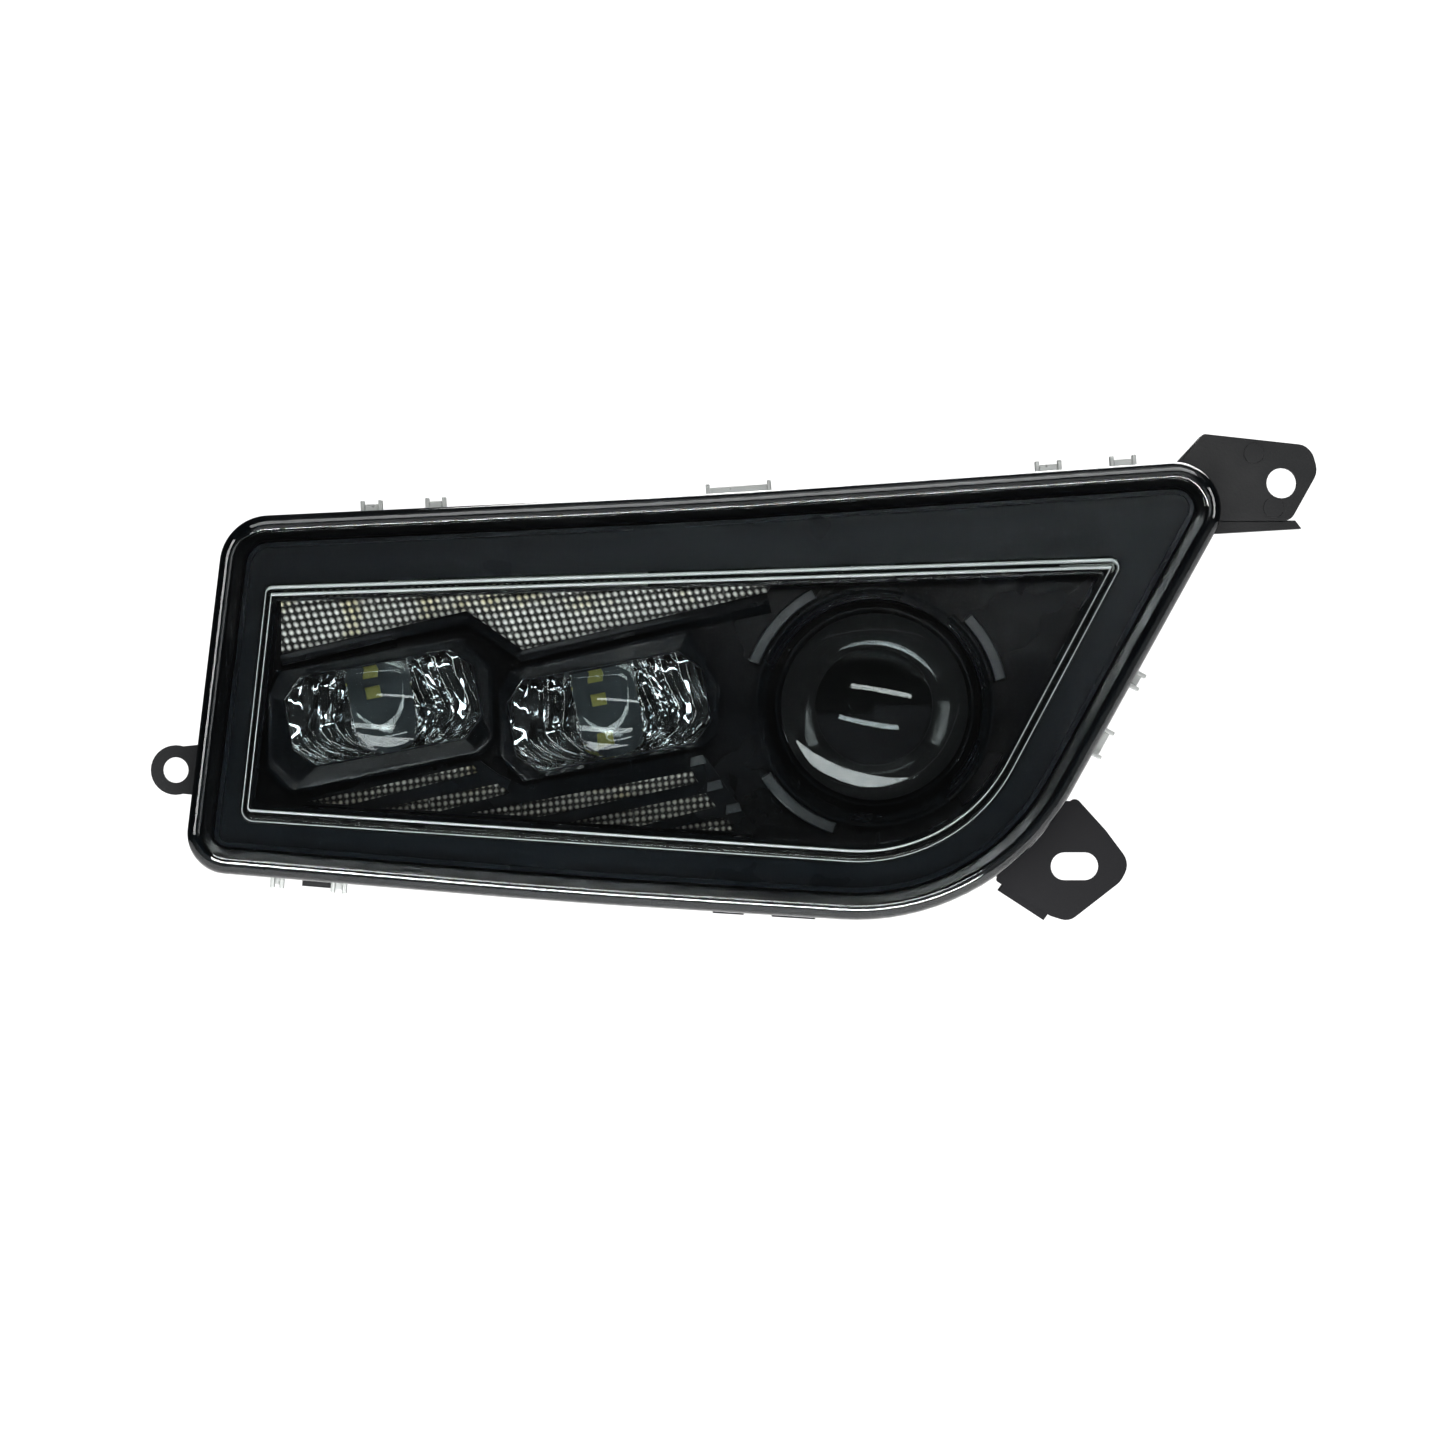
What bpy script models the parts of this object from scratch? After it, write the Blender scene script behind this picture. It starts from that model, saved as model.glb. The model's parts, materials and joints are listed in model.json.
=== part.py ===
"""LED headlight of a small off-road vehicle: a flat clear lens over a black bezel, two low rectangular
optics, a round projector, and three fixing ears.

The front faces -Y, +X is to the right as seen from the front and +Z is up. The origin is the centre
of the whole lamp's box. Driving dimensions are in millimetres; the modelling helpers turn them into
metres. The projector hangs on two pivot pins along X and an adjuster at the back tilts it.
"""
import math

import bmesh
import bpy
from mathutils import Matrix, Vector

MM = 0.001
GAP = 0.3  # clearance between two pieces that touch

# ---- depths along Y, front to back ----
LENS_FRONT = -57.0
LENS_FOOT = -32.0
FLANGE_FRONT = -30.0
FLANGE_BACK = -27.5
BEZEL_FRONT = -50.5
BEZEL_BACK = -48.5
GUIDE_FRONT = -52.3
GUIDE_BACK = -47.0
FLOOR_FRONT = -37.0
FLOOR_BACK = -35.5
WALL_INNER = 5.5
WALL_BACK = 8.0
POD_INNER = 43.5
POD_BACK = 46.0
LAMP_BACK = 57.0

# ---- outlines as (x, z, corner radius), clockwise as seen from the front ----
LENS = [
    (-162.7, 50.9, 16.0),
    (-11.0, 58.1, 1500.0),
    (166.9, 70.5, 15.0),
    (83.4, -80.6, 78.0),
    (-55.8, -71.9, 1500.0),
    (-176.2, -61.8, 13.0),
]
GUIDE = [(-149.6, 29.1, 2.5), (125.0, 38.1, 3.0), (72.0, -61.6, 56.0), (-157.9, -46.1, 4.0)]
GUIDE_WIDTHS = [3.6, 3.0, 4.2, 2.5]  # top, right, bottom and left bars
POD = [(-1.0, 44.0, 12.0), (91.0, 44.0, 12.0), (91.0, -50.0, 30.0), (-1.0, -54.0, 30.0)]
LENS_WALL = 2.5
HOUSING_INSET = 3.0  # the housing's tongue stands this far inside the lens outline
HOUSING_DRAFT = 4.0
HOUSING_WALL = 2.5
BEZEL_INSET = 8.8
RIB_FRONT = -53.0

# ---- projector and its adjuster ----
PROJECTOR = (45.0, -9.5)  # x and z of the optical axis
PIVOT_Y = -8.0
PIN_RADIUS = 2.0
PIN_ENDS = (35.6, 43.8)  # from the optical axis, inside the lug to inside the cheek
CHEEK_INNER = 40.0  # half the distance between the two pivot cheeks
BALL_ARM = 40.0  # height of the ball above the pivot axis
BALL_Y = -4.0
BALL_RADIUS = 4.0
KNOB_LOBES = 10
SHAFT_RADIUS = 3.0

# ---- rectangular optics as (centre x, centre z, width, height) ----
OPTICS = [(-112.5, -9.9, 61.0, 28.5), (-40.2, -11.2, 63.0, 29.5)]
OPTIC_TILT = math.radians(10.5)
CUPS = [
    [(-146.5, 1.8), (-87.4, 13.6), (-81.8, 11.2), (-76.4, 2.8), (-76.6, -20.8), (-81.2, -24.8),
     (-142.6, -37.6), (-150.6, -29.0)],
    [(-72.0, 2.6), (-67.5, 4.4), (-14.7, 16.4), (-8.4, 12.4), (-3.6, -4.6), (-5.2, -18.6), (-9.6, -22.2),
     (-67.5, -33.6), (-75.6, -25.2), (-75.4, -1.0)],
]

# ---- beaded strips behind slanted bars, as (x, z) ----
LOUVERS = [
    [(-136.6, -40.0), (-83.7, -28.2), (-81.8, -30.5), (-123.4, -41.0)],
    [(-113.1, -42.1), (-75.7, -34.2), (-71.5, -37.0), (-94.1, -43.0)],
    [(-84.0, -43.5), (-13.5, -30.2), (-11.4, -33.9), (-62.2, -44.8)],
    [(-52.6, -46.6), (-9.2, -37.2), (-5.8, -41.5), (-30.0, -47.7)],
    [(-20.3, -48.5), (-2.8, -44.9), (0.6, -49.6)],
]
LOUVER_PANEL = [
    (-140.4, -39.7), (-81.5, -26.7), (-75.5, -31.2), (-67.5, -35.0), (-10.5, -23.8), (8.0, -50.7),
    (-140.0, -40.7),
]
MARKER_LINE = [(-144.6, 6.9), (-85.9, 20.6), (-67.9, 8.1), (9.5, 26.4)]  # lower edge of the upper strip
MARKER_BAND = 3.2
MARKER_BOARD = [(-143.0, 22.4), (-60.0, 24.6), (-67.8, 12.0), (-85.8, 22.6), (-143.0, 9.4)]

# ---- back of the lamp ----
SINK_PLATE = (-149.0, -34.0, -16.0, 13.0)  # low x, low z, high x, high z
SINK_BASE = (WALL_BACK + GAP, WALL_BACK + 3.3)
SINK_FIN_END = 30.0
SINK_FINS = 13
SINK_FIN_WIDTH = 2.2
CONNECTOR = (-60.0, 27.0)
VENTS = [(-128.0, 30.0), (118.0, 36.0)]
SCREW_SHANK = 1.7
SCREW_HEAD = 3.6

# ---- fixing ears ----
LEFT_EAR = (-179.7, -29.9)
LEFT_EAR_RADIUS = 8.0
LEFT_EAR_HOLE = 4.15
UPPER_EAR_HOLE_CENTRE = (176.5, 62.6)
UPPER_EAR_HOLE = 4.9
SLOT_CENTRE = (109.8, -61.0)
SLOT_LENGTH = 15.4
SLOT_WIDTH = 9.0
LEFT_EAR_SPAN = (-29.5, -25.5)
UPPER_EAR_SPAN = (-22.0, -17.0)
ARC_CENTRE = (39.0, 0.3)  # centre of the lens outline's large lower right corner
ARC_RADIUS = 78.0
BRACKET_FRONT = -20.0
BRACKET_THICKNESS = 2.5
BRACKET_TAB = (WALL_BACK + GAP, WALL_BACK + GAP + BRACKET_THICKNESS)

FINE = math.radians(6)
COARSE = math.radians(15)
LARGE_RADIUS = 30.0

# base colour, roughness, metallic, transmission
FINISHES = {
    "clear_polycarbonate": ((0.80, 0.84, 0.86), 0.05, 0.0, 1.0),
    "black_housing": ((0.012, 0.013, 0.015), 0.50, 0.0, 0.0),
    "black_bezel": ((0.010, 0.012, 0.014), 0.35, 0.0, 0.0),
    "gloss_black": ((0.006, 0.007, 0.009), 0.12, 0.0, 0.0),
    "clear_optic": ((0.85, 0.88, 0.90), 0.03, 0.0, 1.0),
    "prismatic_clear": ((0.70, 0.70, 0.68), 0.20, 0.0, 0.6),
    "projector_glass": ((0.60, 0.66, 0.70), 0.02, 0.0, 1.0),
    "circuit_board": ((0.78, 0.79, 0.76), 0.45, 0.0, 0.0),
    "die_cast_aluminium": ((0.48, 0.49, 0.50), 0.45, 1.0, 0.0),
    "chromed_reflector": ((0.80, 0.80, 0.82), 0.08, 1.0, 0.0),
    "black_steel": ((0.016, 0.016, 0.018), 0.65, 0.3, 0.0),
    "plated_steel": ((0.55, 0.54, 0.50), 0.30, 1.0, 0.0),
    "seal_rubber": ((0.02, 0.02, 0.02), 0.80, 0.0, 0.0),
    "white_nylon": ((0.75, 0.74, 0.70), 0.50, 0.0, 0.0),
    "brass": ((0.60, 0.44, 0.18), 0.30, 1.0, 0.0),
}


# ---- scene and objects ----

def clear_scene():
    for obj in list(bpy.data.objects):
        bpy.data.objects.remove(obj, do_unlink=True)


def new_collection(name):
    collection = bpy.data.collections.new(name)
    bpy.context.scene.collection.children.link(collection)
    return collection


clear_scene()
PARTS = new_collection("led_headlight")
CUTTERS = new_collection("cutters")


def finish(name):
    material = bpy.data.materials.get(name)
    if material:
        return material
    color, roughness, metallic, transmission = FINISHES[name]
    material = bpy.data.materials.new(name)
    material.use_nodes = True
    shader = material.node_tree.nodes["Principled BSDF"]
    shader.inputs["Base Color"].default_value = (*color, 1.0)
    shader.inputs["Roughness"].default_value = roughness
    shader.inputs["Metallic"].default_value = metallic
    shader.inputs["Transmission Weight"].default_value = transmission
    return material


def place(name, mesh, material=None, matrix=None):
    """Link a mesh as a sub-part, or as a helper solid when it has no material."""
    obj = bpy.data.objects.new(name, mesh)
    (PARTS if material else CUTTERS).objects.link(obj)
    if matrix is not None:
        obj.matrix_world = matrix
    if material:
        mesh.materials.append(finish(material))
        mesh.shade_smooth()
        mesh.set_sharp_from_angle(angle=math.radians(32))
    else:
        obj.hide_render = True
        obj.display_type = "WIRE"
    return obj


def combine(target, tool, operation):
    boolean = target.modifiers.new(operation.lower(), "BOOLEAN")
    boolean.operation = operation
    boolean.solver = "EXACT"
    boolean.object = tool


def cut(target, *tools):
    for tool in tools:
        combine(target, tool, "DIFFERENCE")


def join(target, *tools):
    for tool in tools:
        combine(target, tool, "UNION")


# ---- outlines ----

def ring(corners, inset=0.0):
    """Rounded outline of the given corners, moved inwards by one inset or by one inset for each edge."""
    count = len(corners)
    insets = inset if isinstance(inset, list) else [inset] * count
    sharp = [Vector(corner[:2]) for corner in corners]
    outline = []
    for i, (_, _, radius) in enumerate(corners):
        before = (sharp[i] - sharp[i - 1]).normalized()
        after = (sharp[(i + 1) % count] - sharp[i]).normalized()
        normal_before = Vector((before.y, -before.x)) * insets[i - 1]
        normal_after = Vector((after.y, -after.x)) * insets[i]
        along = (normal_after - normal_before).cross(after) / before.cross(after)
        corner = sharp[i] + normal_before + before * along
        if radius == 0.0:
            outline.append(tuple(corner))
            continue
        turn = before.angle_signed(after)
        side = math.copysign(1.0, turn)
        radius = max(radius - side * (insets[i - 1] + insets[i]) / 2, 0.2)
        start = corner - before * radius * math.tan(abs(turn) / 2)
        centre = start + Vector((before.y, -before.x)) * side * radius
        steps = max(1, math.ceil(abs(turn) / (FINE if radius > LARGE_RADIUS else COARSE)))
        for k in range(steps + 1):
            spoke = start - centre
            spoke.rotate(Matrix.Rotation(-turn * k / steps, 2))
            outline.append(tuple(centre + spoke))
    return outline


def circle(centre, radius, steps=32):
    angles = [2 * math.pi * k / steps for k in range(steps)]
    return [(centre[0] + radius * math.cos(a), centre[1] + radius * math.sin(a)) for a in angles]


def tilted_box(centre, width, height, tilt, radius):
    """Corners of a rectangle turned by tilt, ready for ring()."""
    corners = []
    for side_x, side_z in ((-1, 1), (1, 1), (1, -1), (-1, -1)):
        x, z = side_x * width / 2, side_z * height / 2
        corners.append((
            centre[0] + x * math.cos(tilt) - z * math.sin(tilt),
            centre[1] + x * math.sin(tilt) + z * math.cos(tilt),
            radius,
        ))
    return corners


def rectangle(low_x, low_z, high_x, high_z, radius=0.0):
    corners = [(low_x, high_z), (high_x, high_z), (high_x, low_z), (low_x, low_z)]
    return [(x, z, radius) for x, z in corners]


def on_edge(start, end, at, width, low, high):
    """A small rectangle standing on the edge from start to end; at is the distance from start."""
    start, end = Vector(start), Vector(end)
    along = (end - start).normalized()
    outward = Vector((-along.y, along.x))
    left = start + along * (at - width / 2)
    right = start + along * (at + width / 2)
    return [tuple(p) for p in (left + outward * low, left + outward * high,
                               right + outward * high, right + outward * low)]


# ---- solids ----

FACINGS = {
    "X": Matrix.Rotation(math.pi / 2, 4, "Z") @ Matrix.Rotation(math.pi / 2, 4, "X"),
    "Y": Matrix.Rotation(math.pi / 2, 4, "X"),
    "Z": Matrix.Identity(4),
}
OUTWARD = {"X": 1, "Y": -1, "Z": 1}  # which way the outline's own normal points along the axis


def slab(name, outlines, low, high, material=None, along="Y"):
    """Flat outlines (the later ones are holes) given a thickness from low to high along one axis."""
    curve = bpy.data.curves.new(name, "CURVE")
    curve.dimensions = "2D"
    curve.fill_mode = "BOTH"
    curve.extrude = (high - low) / 2 * MM
    for outline in outlines:
        spline = curve.splines.new("POLY")
        spline.points.add(len(outline) - 1)
        for point, (across, up) in zip(spline.points, outline):
            point.co = (across * MM, up * MM, 0.0, 1.0)
        spline.use_cyclic_u = True
    holder = bpy.data.objects.new(name + "_outline", curve)
    bpy.context.scene.collection.objects.link(holder)
    middle = OUTWARD[along] * (low + high) / 2 * MM
    holder.matrix_world = FACINGS[along] @ Matrix.Translation((0.0, 0.0, middle))
    depsgraph = bpy.context.evaluated_depsgraph_get()
    mesh = bpy.data.meshes.new_from_object(holder.evaluated_get(depsgraph))
    mesh.name = name
    weld(mesh)
    matrix = holder.matrix_world.copy()
    bpy.data.objects.remove(holder)
    bpy.data.curves.remove(curve)
    return place(name, mesh, material, matrix)


def weld(mesh):
    bm = bmesh.new()
    bm.from_mesh(mesh)
    bmesh.ops.remove_doubles(bm, verts=bm.verts, dist=1e-6)
    bmesh.ops.recalc_face_normals(bm, faces=bm.faces)
    bm.to_mesh(mesh)
    bm.free()


def loft(name, sections, material=None, open_at=None):
    """Skin over matching outlines at (outline, y); open_at leaves out the 'first' or 'last' cap."""
    bm = bmesh.new()
    loops = []
    for outline, y in sections:
        loops.append([bm.verts.new((x * MM, y * MM, z * MM)) for x, z in outline])
    count = len(loops[0])
    for near, far in zip(loops, loops[1:]):
        for i in range(count):
            j = (i + 1) % count
            bm.faces.new((near[i], near[j], far[j], far[i]))
    if open_at != "first":
        bm.faces.new(loops[0])
    if open_at != "last":
        bm.faces.new(loops[-1])
    bmesh.ops.recalc_face_normals(bm, faces=bm.faces)
    mesh = bpy.data.meshes.new(name)
    bm.to_mesh(mesh)
    bm.free()
    return place(name, mesh, material)


def thicken(obj, thickness, offset=-1.0):
    solidify = obj.modifiers.new("wall", "SOLIDIFY")
    solidify.thickness = thickness * MM
    solidify.offset = offset
    solidify.use_even_offset = True
    solidify.use_quality_normals = True


def box(name, low, high, material=None):
    bm = bmesh.new()
    bmesh.ops.create_cube(bm, size=1.0)
    size = Vector(high) - Vector(low)
    bmesh.ops.scale(bm, vec=size * MM, verts=bm.verts)
    bmesh.ops.translate(bm, vec=(Vector(low) + Vector(high)) / 2 * MM, verts=bm.verts)
    mesh = bpy.data.meshes.new(name)
    bm.to_mesh(mesh)
    bm.free()
    return place(name, mesh, material)


def rod(name, centre, radius, low, high, material=None, along="Y", segments=24):
    """A cylinder along one axis; centre is its place on the two other axes."""
    return slab(name, [circle(centre, radius, segments)], low, high, material, along)


def turned(name, profile, centre, material=None, steps=32, closed=False):
    """Turn a profile of (radius, y) about an axis along Y through centre; it runs front to back."""
    bm = bmesh.new()
    verts = [bm.verts.new((radius * MM, 0.0, -y * MM)) for radius, y in profile]
    for a, b in zip(verts, verts[1:]):
        bm.edges.new((a, b))
    if closed:
        bm.edges.new((verts[-1], verts[0]))
    mesh = bpy.data.meshes.new(name)
    bm.to_mesh(mesh)
    bm.free()
    matrix = Matrix.Translation((centre[0] * MM, 0.0, centre[1] * MM)) @ FACINGS["Y"]
    obj = place(name, mesh, material, matrix)
    screw = obj.modifiers.new("turn", "SCREW")
    screw.steps = steps
    screw.render_steps = steps
    screw.use_merge_vertices = True
    screw.merge_threshold = 0.00001
    screw.use_smooth_shade = True
    return obj


# ---- outer shell ----

def outer_lens():
    skin = [
        (ring(LENS), LENS_FOOT),
        (ring(LENS), LENS_FRONT + 6.0),
        (ring(LENS, 0.6), LENS_FRONT + 3.0),
        (ring(LENS, 2.2), LENS_FRONT + 0.9),
        (ring(LENS, 4.8), LENS_FRONT),
    ]
    lens = loft("outer_lens", skin, "clear_polycarbonate", open_at="first")
    thicken(lens, LENS_WALL)
    top_left, top_middle, top_right, low_right, low_middle, low_left = [c[:2] for c in LENS]
    tabs = [
        (top_left, top_middle, 46.5, 7.0),
        (top_left, top_middle, 67.1, 6.7),
        (top_middle, top_right, 12.5, 21.0),
        (top_middle, top_right, 112.1, 8.5),
        (top_middle, top_right, 136.1, 8.5),
        (top_right, low_right, 81.0, 6.0),
        (top_right, low_right, 104.0, 10.0),
        (low_middle, low_left, 71.2, 5.0),
        (low_middle, low_left, 91.0, 4.3),
    ]
    for number, (start, end, at, width) in enumerate(tabs):
        outline = on_edge(start, end, at, width, -1.5, 3.6)
        join(lens, slab(f"lens_tab_{number}", [outline], -40.0, -33.0))


def lens_seal():
    outlines = [ring(LENS, 0.4), ring(LENS, 2.6)]
    slab("lens_seal", outlines, LENS_FOOT + GAP, FLANGE_FRONT - GAP, "seal_rubber")


def rear_housing():
    outer = [
        (ring(LENS, HOUSING_INSET), -38.0),
        (ring(LENS, HOUSING_INSET), FLANGE_BACK),
        (ring(LENS, HOUSING_INSET + HOUSING_DRAFT), WALL_BACK),
    ]
    housing = loft("rear_housing", outer, "black_housing")
    join(housing, slab("housing_flange", [ring(LENS, 0.2)], FLANGE_FRONT, FLANGE_BACK))
    join(housing, slab("housing_pod", [ring(POD)], 4.0, POD_BACK))
    join(housing, *ear_solids())
    inner_inset = HOUSING_INSET + HOUSING_WALL - 0.3
    inner = [
        (ring(LENS, inner_inset), -39.0),
        (ring(LENS, inner_inset), FLANGE_BACK),
        (ring(LENS, inner_inset + HOUSING_DRAFT), WALL_INNER),
    ]
    cut(housing, loft("housing_cavity", inner))
    cut(housing, slab("pod_cavity", [ring(POD, HOUSING_WALL)], 3.0, POD_INNER))
    cut(housing, *housing_openings())
    for side in (-1, 1):
        x = sorted((PROJECTOR[0] + side * CHEEK_INNER, PROJECTOR[0] + side * (CHEEK_INNER + 4.5)))
        low_z, high_z = PROJECTOR[1] - 9.0, PROJECTOR[1] + 9.0
        join(housing, box(f"pivot_cheek_{side}", (x[0], -14.0, low_z), (x[1], 24.0, high_z)))
    pin_hole = rod("pivot_bore", (PIVOT_Y, PROJECTOR[1]), PIN_RADIUS + GAP, -20.0, 110.0, along="X")
    cut(housing, pin_hole)


def ear_solids():
    x, z = LEFT_EAR
    left_tip = circle(LEFT_EAR, LEFT_EAR_RADIUS)
    left_neck = [(x, z + 7.4), (-164.0, z + 9.0), (-164.0, z - 9.0), (x, z - 7.4)]
    plate = [
        (186.6, 72.0, 5.0), (188.2, 66.2, 6.0), (179.4, 50.4, 4.0), (150.0, 50.4, 0.0), (144.0, 69.0, 0.0),
        (151.2, 78.5, 1.5), (184.0, 74.9, 5.0),
    ]
    neck = [
        (151.2, 78.4, 1.5), (162.0, 77.2, 2.0), (166.0, 64.0, 12.0), (162.0, 49.0, 3.0), (148.0, 47.0, 0.0),
        (143.0, 69.5, 0.0),
    ]
    ledge = [(146.0, 50.6), (181.0, 50.6), (183.0, 48.0), (156.0, 46.4), (146.0, 46.4)]
    solids = [
        slab("left_ear_tip", [left_tip], *LEFT_EAR_SPAN),
        slab("left_ear_neck", [left_neck], *LEFT_EAR_SPAN),
        slab("upper_ear_plate", [ring(plate)], *UPPER_EAR_SPAN),
        slab("upper_ear_neck", [ring(neck)], -19.0, -6.0),
        slab("upper_ear_ledge", [ledge], -20.0, -8.0),
    ]
    low_right, low_middle, low_left = [corner[:2] for corner in LENS[3:]]
    hooks = [
        (low_middle, low_left, 78.7, 9.3, 2.2),
        (low_right, low_middle, 85.5, 10.0, 0.9),
        (low_right, low_middle, 64.5, 14.0, 0.9),
    ]
    for number, (start, end, at, width, reach) in enumerate(hooks):
        outline = on_edge(start, end, at, width, -4.0, reach)
        solids.append(slab(f"flange_hook_{number}", [outline], FLANGE_FRONT + 0.2, FLANGE_BACK + 2.0))
    return solids


def housing_openings():
    cutters = [
        rod("left_ear_hole", LEFT_EAR, LEFT_EAR_HOLE, LEFT_EAR_SPAN[0] - 1.5, LEFT_EAR_SPAN[1] + 1.5),
        rod("upper_ear_hole", UPPER_EAR_HOLE_CENTRE, UPPER_EAR_HOLE, UPPER_EAR_SPAN[0] - 1.0, -5.0),
        slab("cover_opening", [ring(cover_outline(40.0, 8.0))], POD_INNER - 1, POD_BACK + 1),
        rod("adjuster_hole", (PROJECTOR[0], PROJECTOR[1] + BALL_ARM), 6.8, POD_INNER - 1, POD_BACK + 1),
    ]
    for number, optic in enumerate(OPTICS, 1):
        outline = ring(pedestal(optic), -0.8)
        cutters.append(slab(f"pedestal_opening_{number}", [outline], WALL_INNER - 1, WALL_BACK + 1))
    holes = [(x, z, POD_INNER - 1, POD_BACK + 1) for x, z in cover_screws()]
    holes += [(x, z, WALL_INNER - 1, WALL_BACK + 1) for x, z in sink_screws() + bracket_screws()]
    for number, (x, z, low, high) in enumerate(holes):
        cutters.append(rod(f"screw_hole_{number}", (x, z), SCREW_SHANK + GAP, low, high, segments=12))
    return cutters


# ---- front trim ----

def bezel_frame():
    outline = ring(LENS, BEZEL_INSET)
    frame = slab("bezel_frame", [outline, ring(GUIDE, -0.4)], BEZEL_FRONT, BEZEL_BACK, "black_bezel")
    rib = slab("bezel_rib", [outline, ring(LENS, BEZEL_INSET + 1.4)], RIB_FRONT, BEZEL_FRONT + 0.5)
    top_left, top_middle, top_right, low_right, low_middle, low_left = [c[:2] for c in LENS]
    gaps = [
        (top_left, top_middle, 138.3, 16.5),
        (low_middle, low_left, 8.2, 17.6),
        (low_left, top_left, 70.6, 9.0),
        (top_right, low_right, 81.7, 14.0),
    ]
    for number, (start, end, at, width) in enumerate(gaps):
        gap = on_edge(start, end, at, width, -12.0, -7.0)
        cut(rib, slab(f"rib_gap_{number}", [gap], RIB_FRONT - 1.0, BEZEL_FRONT - 0.1))
    join(frame, rib)
    skirt = [outline, ring(LENS, BEZEL_INSET + 1.8)]
    join(frame, slab("bezel_skirt", skirt, BEZEL_BACK - 0.5, FLANGE_FRONT - 0.5))


def guide_inner(inset=0.0):
    return ring(GUIDE, [width + inset for width in GUIDE_WIDTHS])


def light_guide():
    slab("light_guide", [ring(GUIDE), guide_inner()], GUIDE_FRONT, GUIDE_BACK, "clear_optic")
    strip = [(104.0, 36.9), (122.5, 37.5), (120.3, 34.3), (104.0, 34.0)]
    slab("guide_board", [strip], GUIDE_BACK + GAP, GUIDE_BACK + 1.9, "circuit_board")


def inner_bezel():
    tray = loft("inner_bezel", [(guide_inner(1.4), -49.5), (guide_inner(2.0), FLOOR_FRONT)], "black_bezel",
                open_at="first")
    thicken(tray, FLOOR_BACK - FLOOR_FRONT - 0.5, offset=1.0)
    ridge = MARKER_LINE + [(x, z - MARKER_BAND) for x, z in reversed(MARKER_LINE)]
    join(tray, slab("marker_ridge", [ridge], -46.5, FLOOR_FRONT + 0.5))
    for number, optic in enumerate(OPTICS, 1):
        cut(tray, slab(f"optic_opening_{number}", [ring(optic_outline(optic), -0.9)], -40.0, -33.0))
    cut(tray, rod("projector_opening", PROJECTOR, 36.4, -40.0, -33.0, segments=40))


def marker():
    top_left = guide_inner(2.3)[0]
    strip = [
        (-144.8, top_left[1] + 0.2), (9.0, 28.4), (9.5, 26.9), (-67.8, 8.6), (-85.8, 21.1), (-144.8, 7.4),
    ]
    slab("marker_lens", [strip], -46.0, -41.0, "prismatic_clear")
    slab("marker_board", [MARKER_BOARD], -40.4, -39.2, "circuit_board")


def louvers():
    slab("louver_grille", [LOUVER_PANEL] + LOUVERS, -43.0, -40.3, "black_bezel")
    back = [
        (-138.0, -40.2), (-82.0, -28.0), (-75.5, -32.4), (-67.5, -36.2), (-11.0, -25.2), (6.0, -50.0),
        (-138.0, -40.6),
    ]
    slab("lower_lens", [back], -40.0, -38.8, "prismatic_clear")
    slab("lower_board", [back], -38.5, -37.4, "circuit_board")


def optic_outline(optic):
    x, z, width, height = optic
    return tilted_box((x, z), width, height, OPTIC_TILT, 6.5)


def pedestal(optic):
    x, z, width, height = optic
    return tilted_box((x, z), width - 10.0, height - 8.0, OPTIC_TILT, 2.0)


def optic_modules():
    for number, (optic, cup) in enumerate(zip(OPTICS, CUPS), 1):
        outline = optic_outline(optic)
        slab(f"optic_bezel_{number}", [cup, ring(outline, -0.6)], -46.0, FLOOR_FRONT - GAP, "gloss_black")
        slab(f"optic_{number}", [ring(outline)], -44.0, -30.0, "clear_optic")
        slab(f"optic_board_{number}", [ring(outline, -1.5)], -29.7, -28.1, "circuit_board")


def comb(low, high, base, tips, count, width):
    """A finned section in X and Y: a base strip with count fins that reach to tips."""
    pitch = (high - low - width) / (count - 1)
    outline = [(low, base[0]), (high, base[0])]
    for k in reversed(range(count)):
        left = low + k * pitch
        outline += [(left + width, base[1])] if k < count - 1 else []
        outline += [(left + width, tips), (left, tips)]
        outline += [(left, base[1])] if k > 0 else []
    return outline


def module_heat_sink():
    low_x, low_z, high_x, high_z = SINK_PLATE
    base = (SINK_BASE[0] + 1.0, SINK_BASE[1])
    fins = comb(low_x + 8.0, high_x - 8.0, base, SINK_FIN_END, SINK_FINS, SINK_FIN_WIDTH)
    sink = slab("module_heat_sink", [fins], low_z + 4.0, high_z - 4.0, "die_cast_aluminium", along="Z")
    join(sink, slab("sink_plate", [ring(rectangle(low_x, low_z, high_x, high_z, 3.0))], *SINK_BASE))
    for number, optic in enumerate(OPTICS, 1):
        join(sink, slab(f"sink_pedestal_{number}", [ring(pedestal(optic))], -27.8, SINK_BASE[0] + 0.8))
    holes = [rod(f"sink_hole_{k}", at, SCREW_SHANK + GAP, WALL_BACK, SINK_BASE[1] + 1, segments=12)
             for k, at in enumerate(sink_screws())]
    cut(sink, *holes)


def sink_screws():
    low_x, low_z, high_x, high_z = SINK_PLATE
    return [(x, z) for x in (low_x + 4.0, high_x - 4.0) for z in (low_z + 5.0, high_z - 5.0)]


# ---- projector that tilts on its pivot pins ----

def projector_shroud():
    foot = FLOOR_FRONT - GAP
    profile = [(34.4, -44.0), (38.7, -44.0), (38.7, foot), (36.0, foot), (36.0, -25.0), (34.4, -25.0)]
    turned("projector_shroud", profile, PROJECTOR, "black_bezel", steps=48, closed=True)


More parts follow.
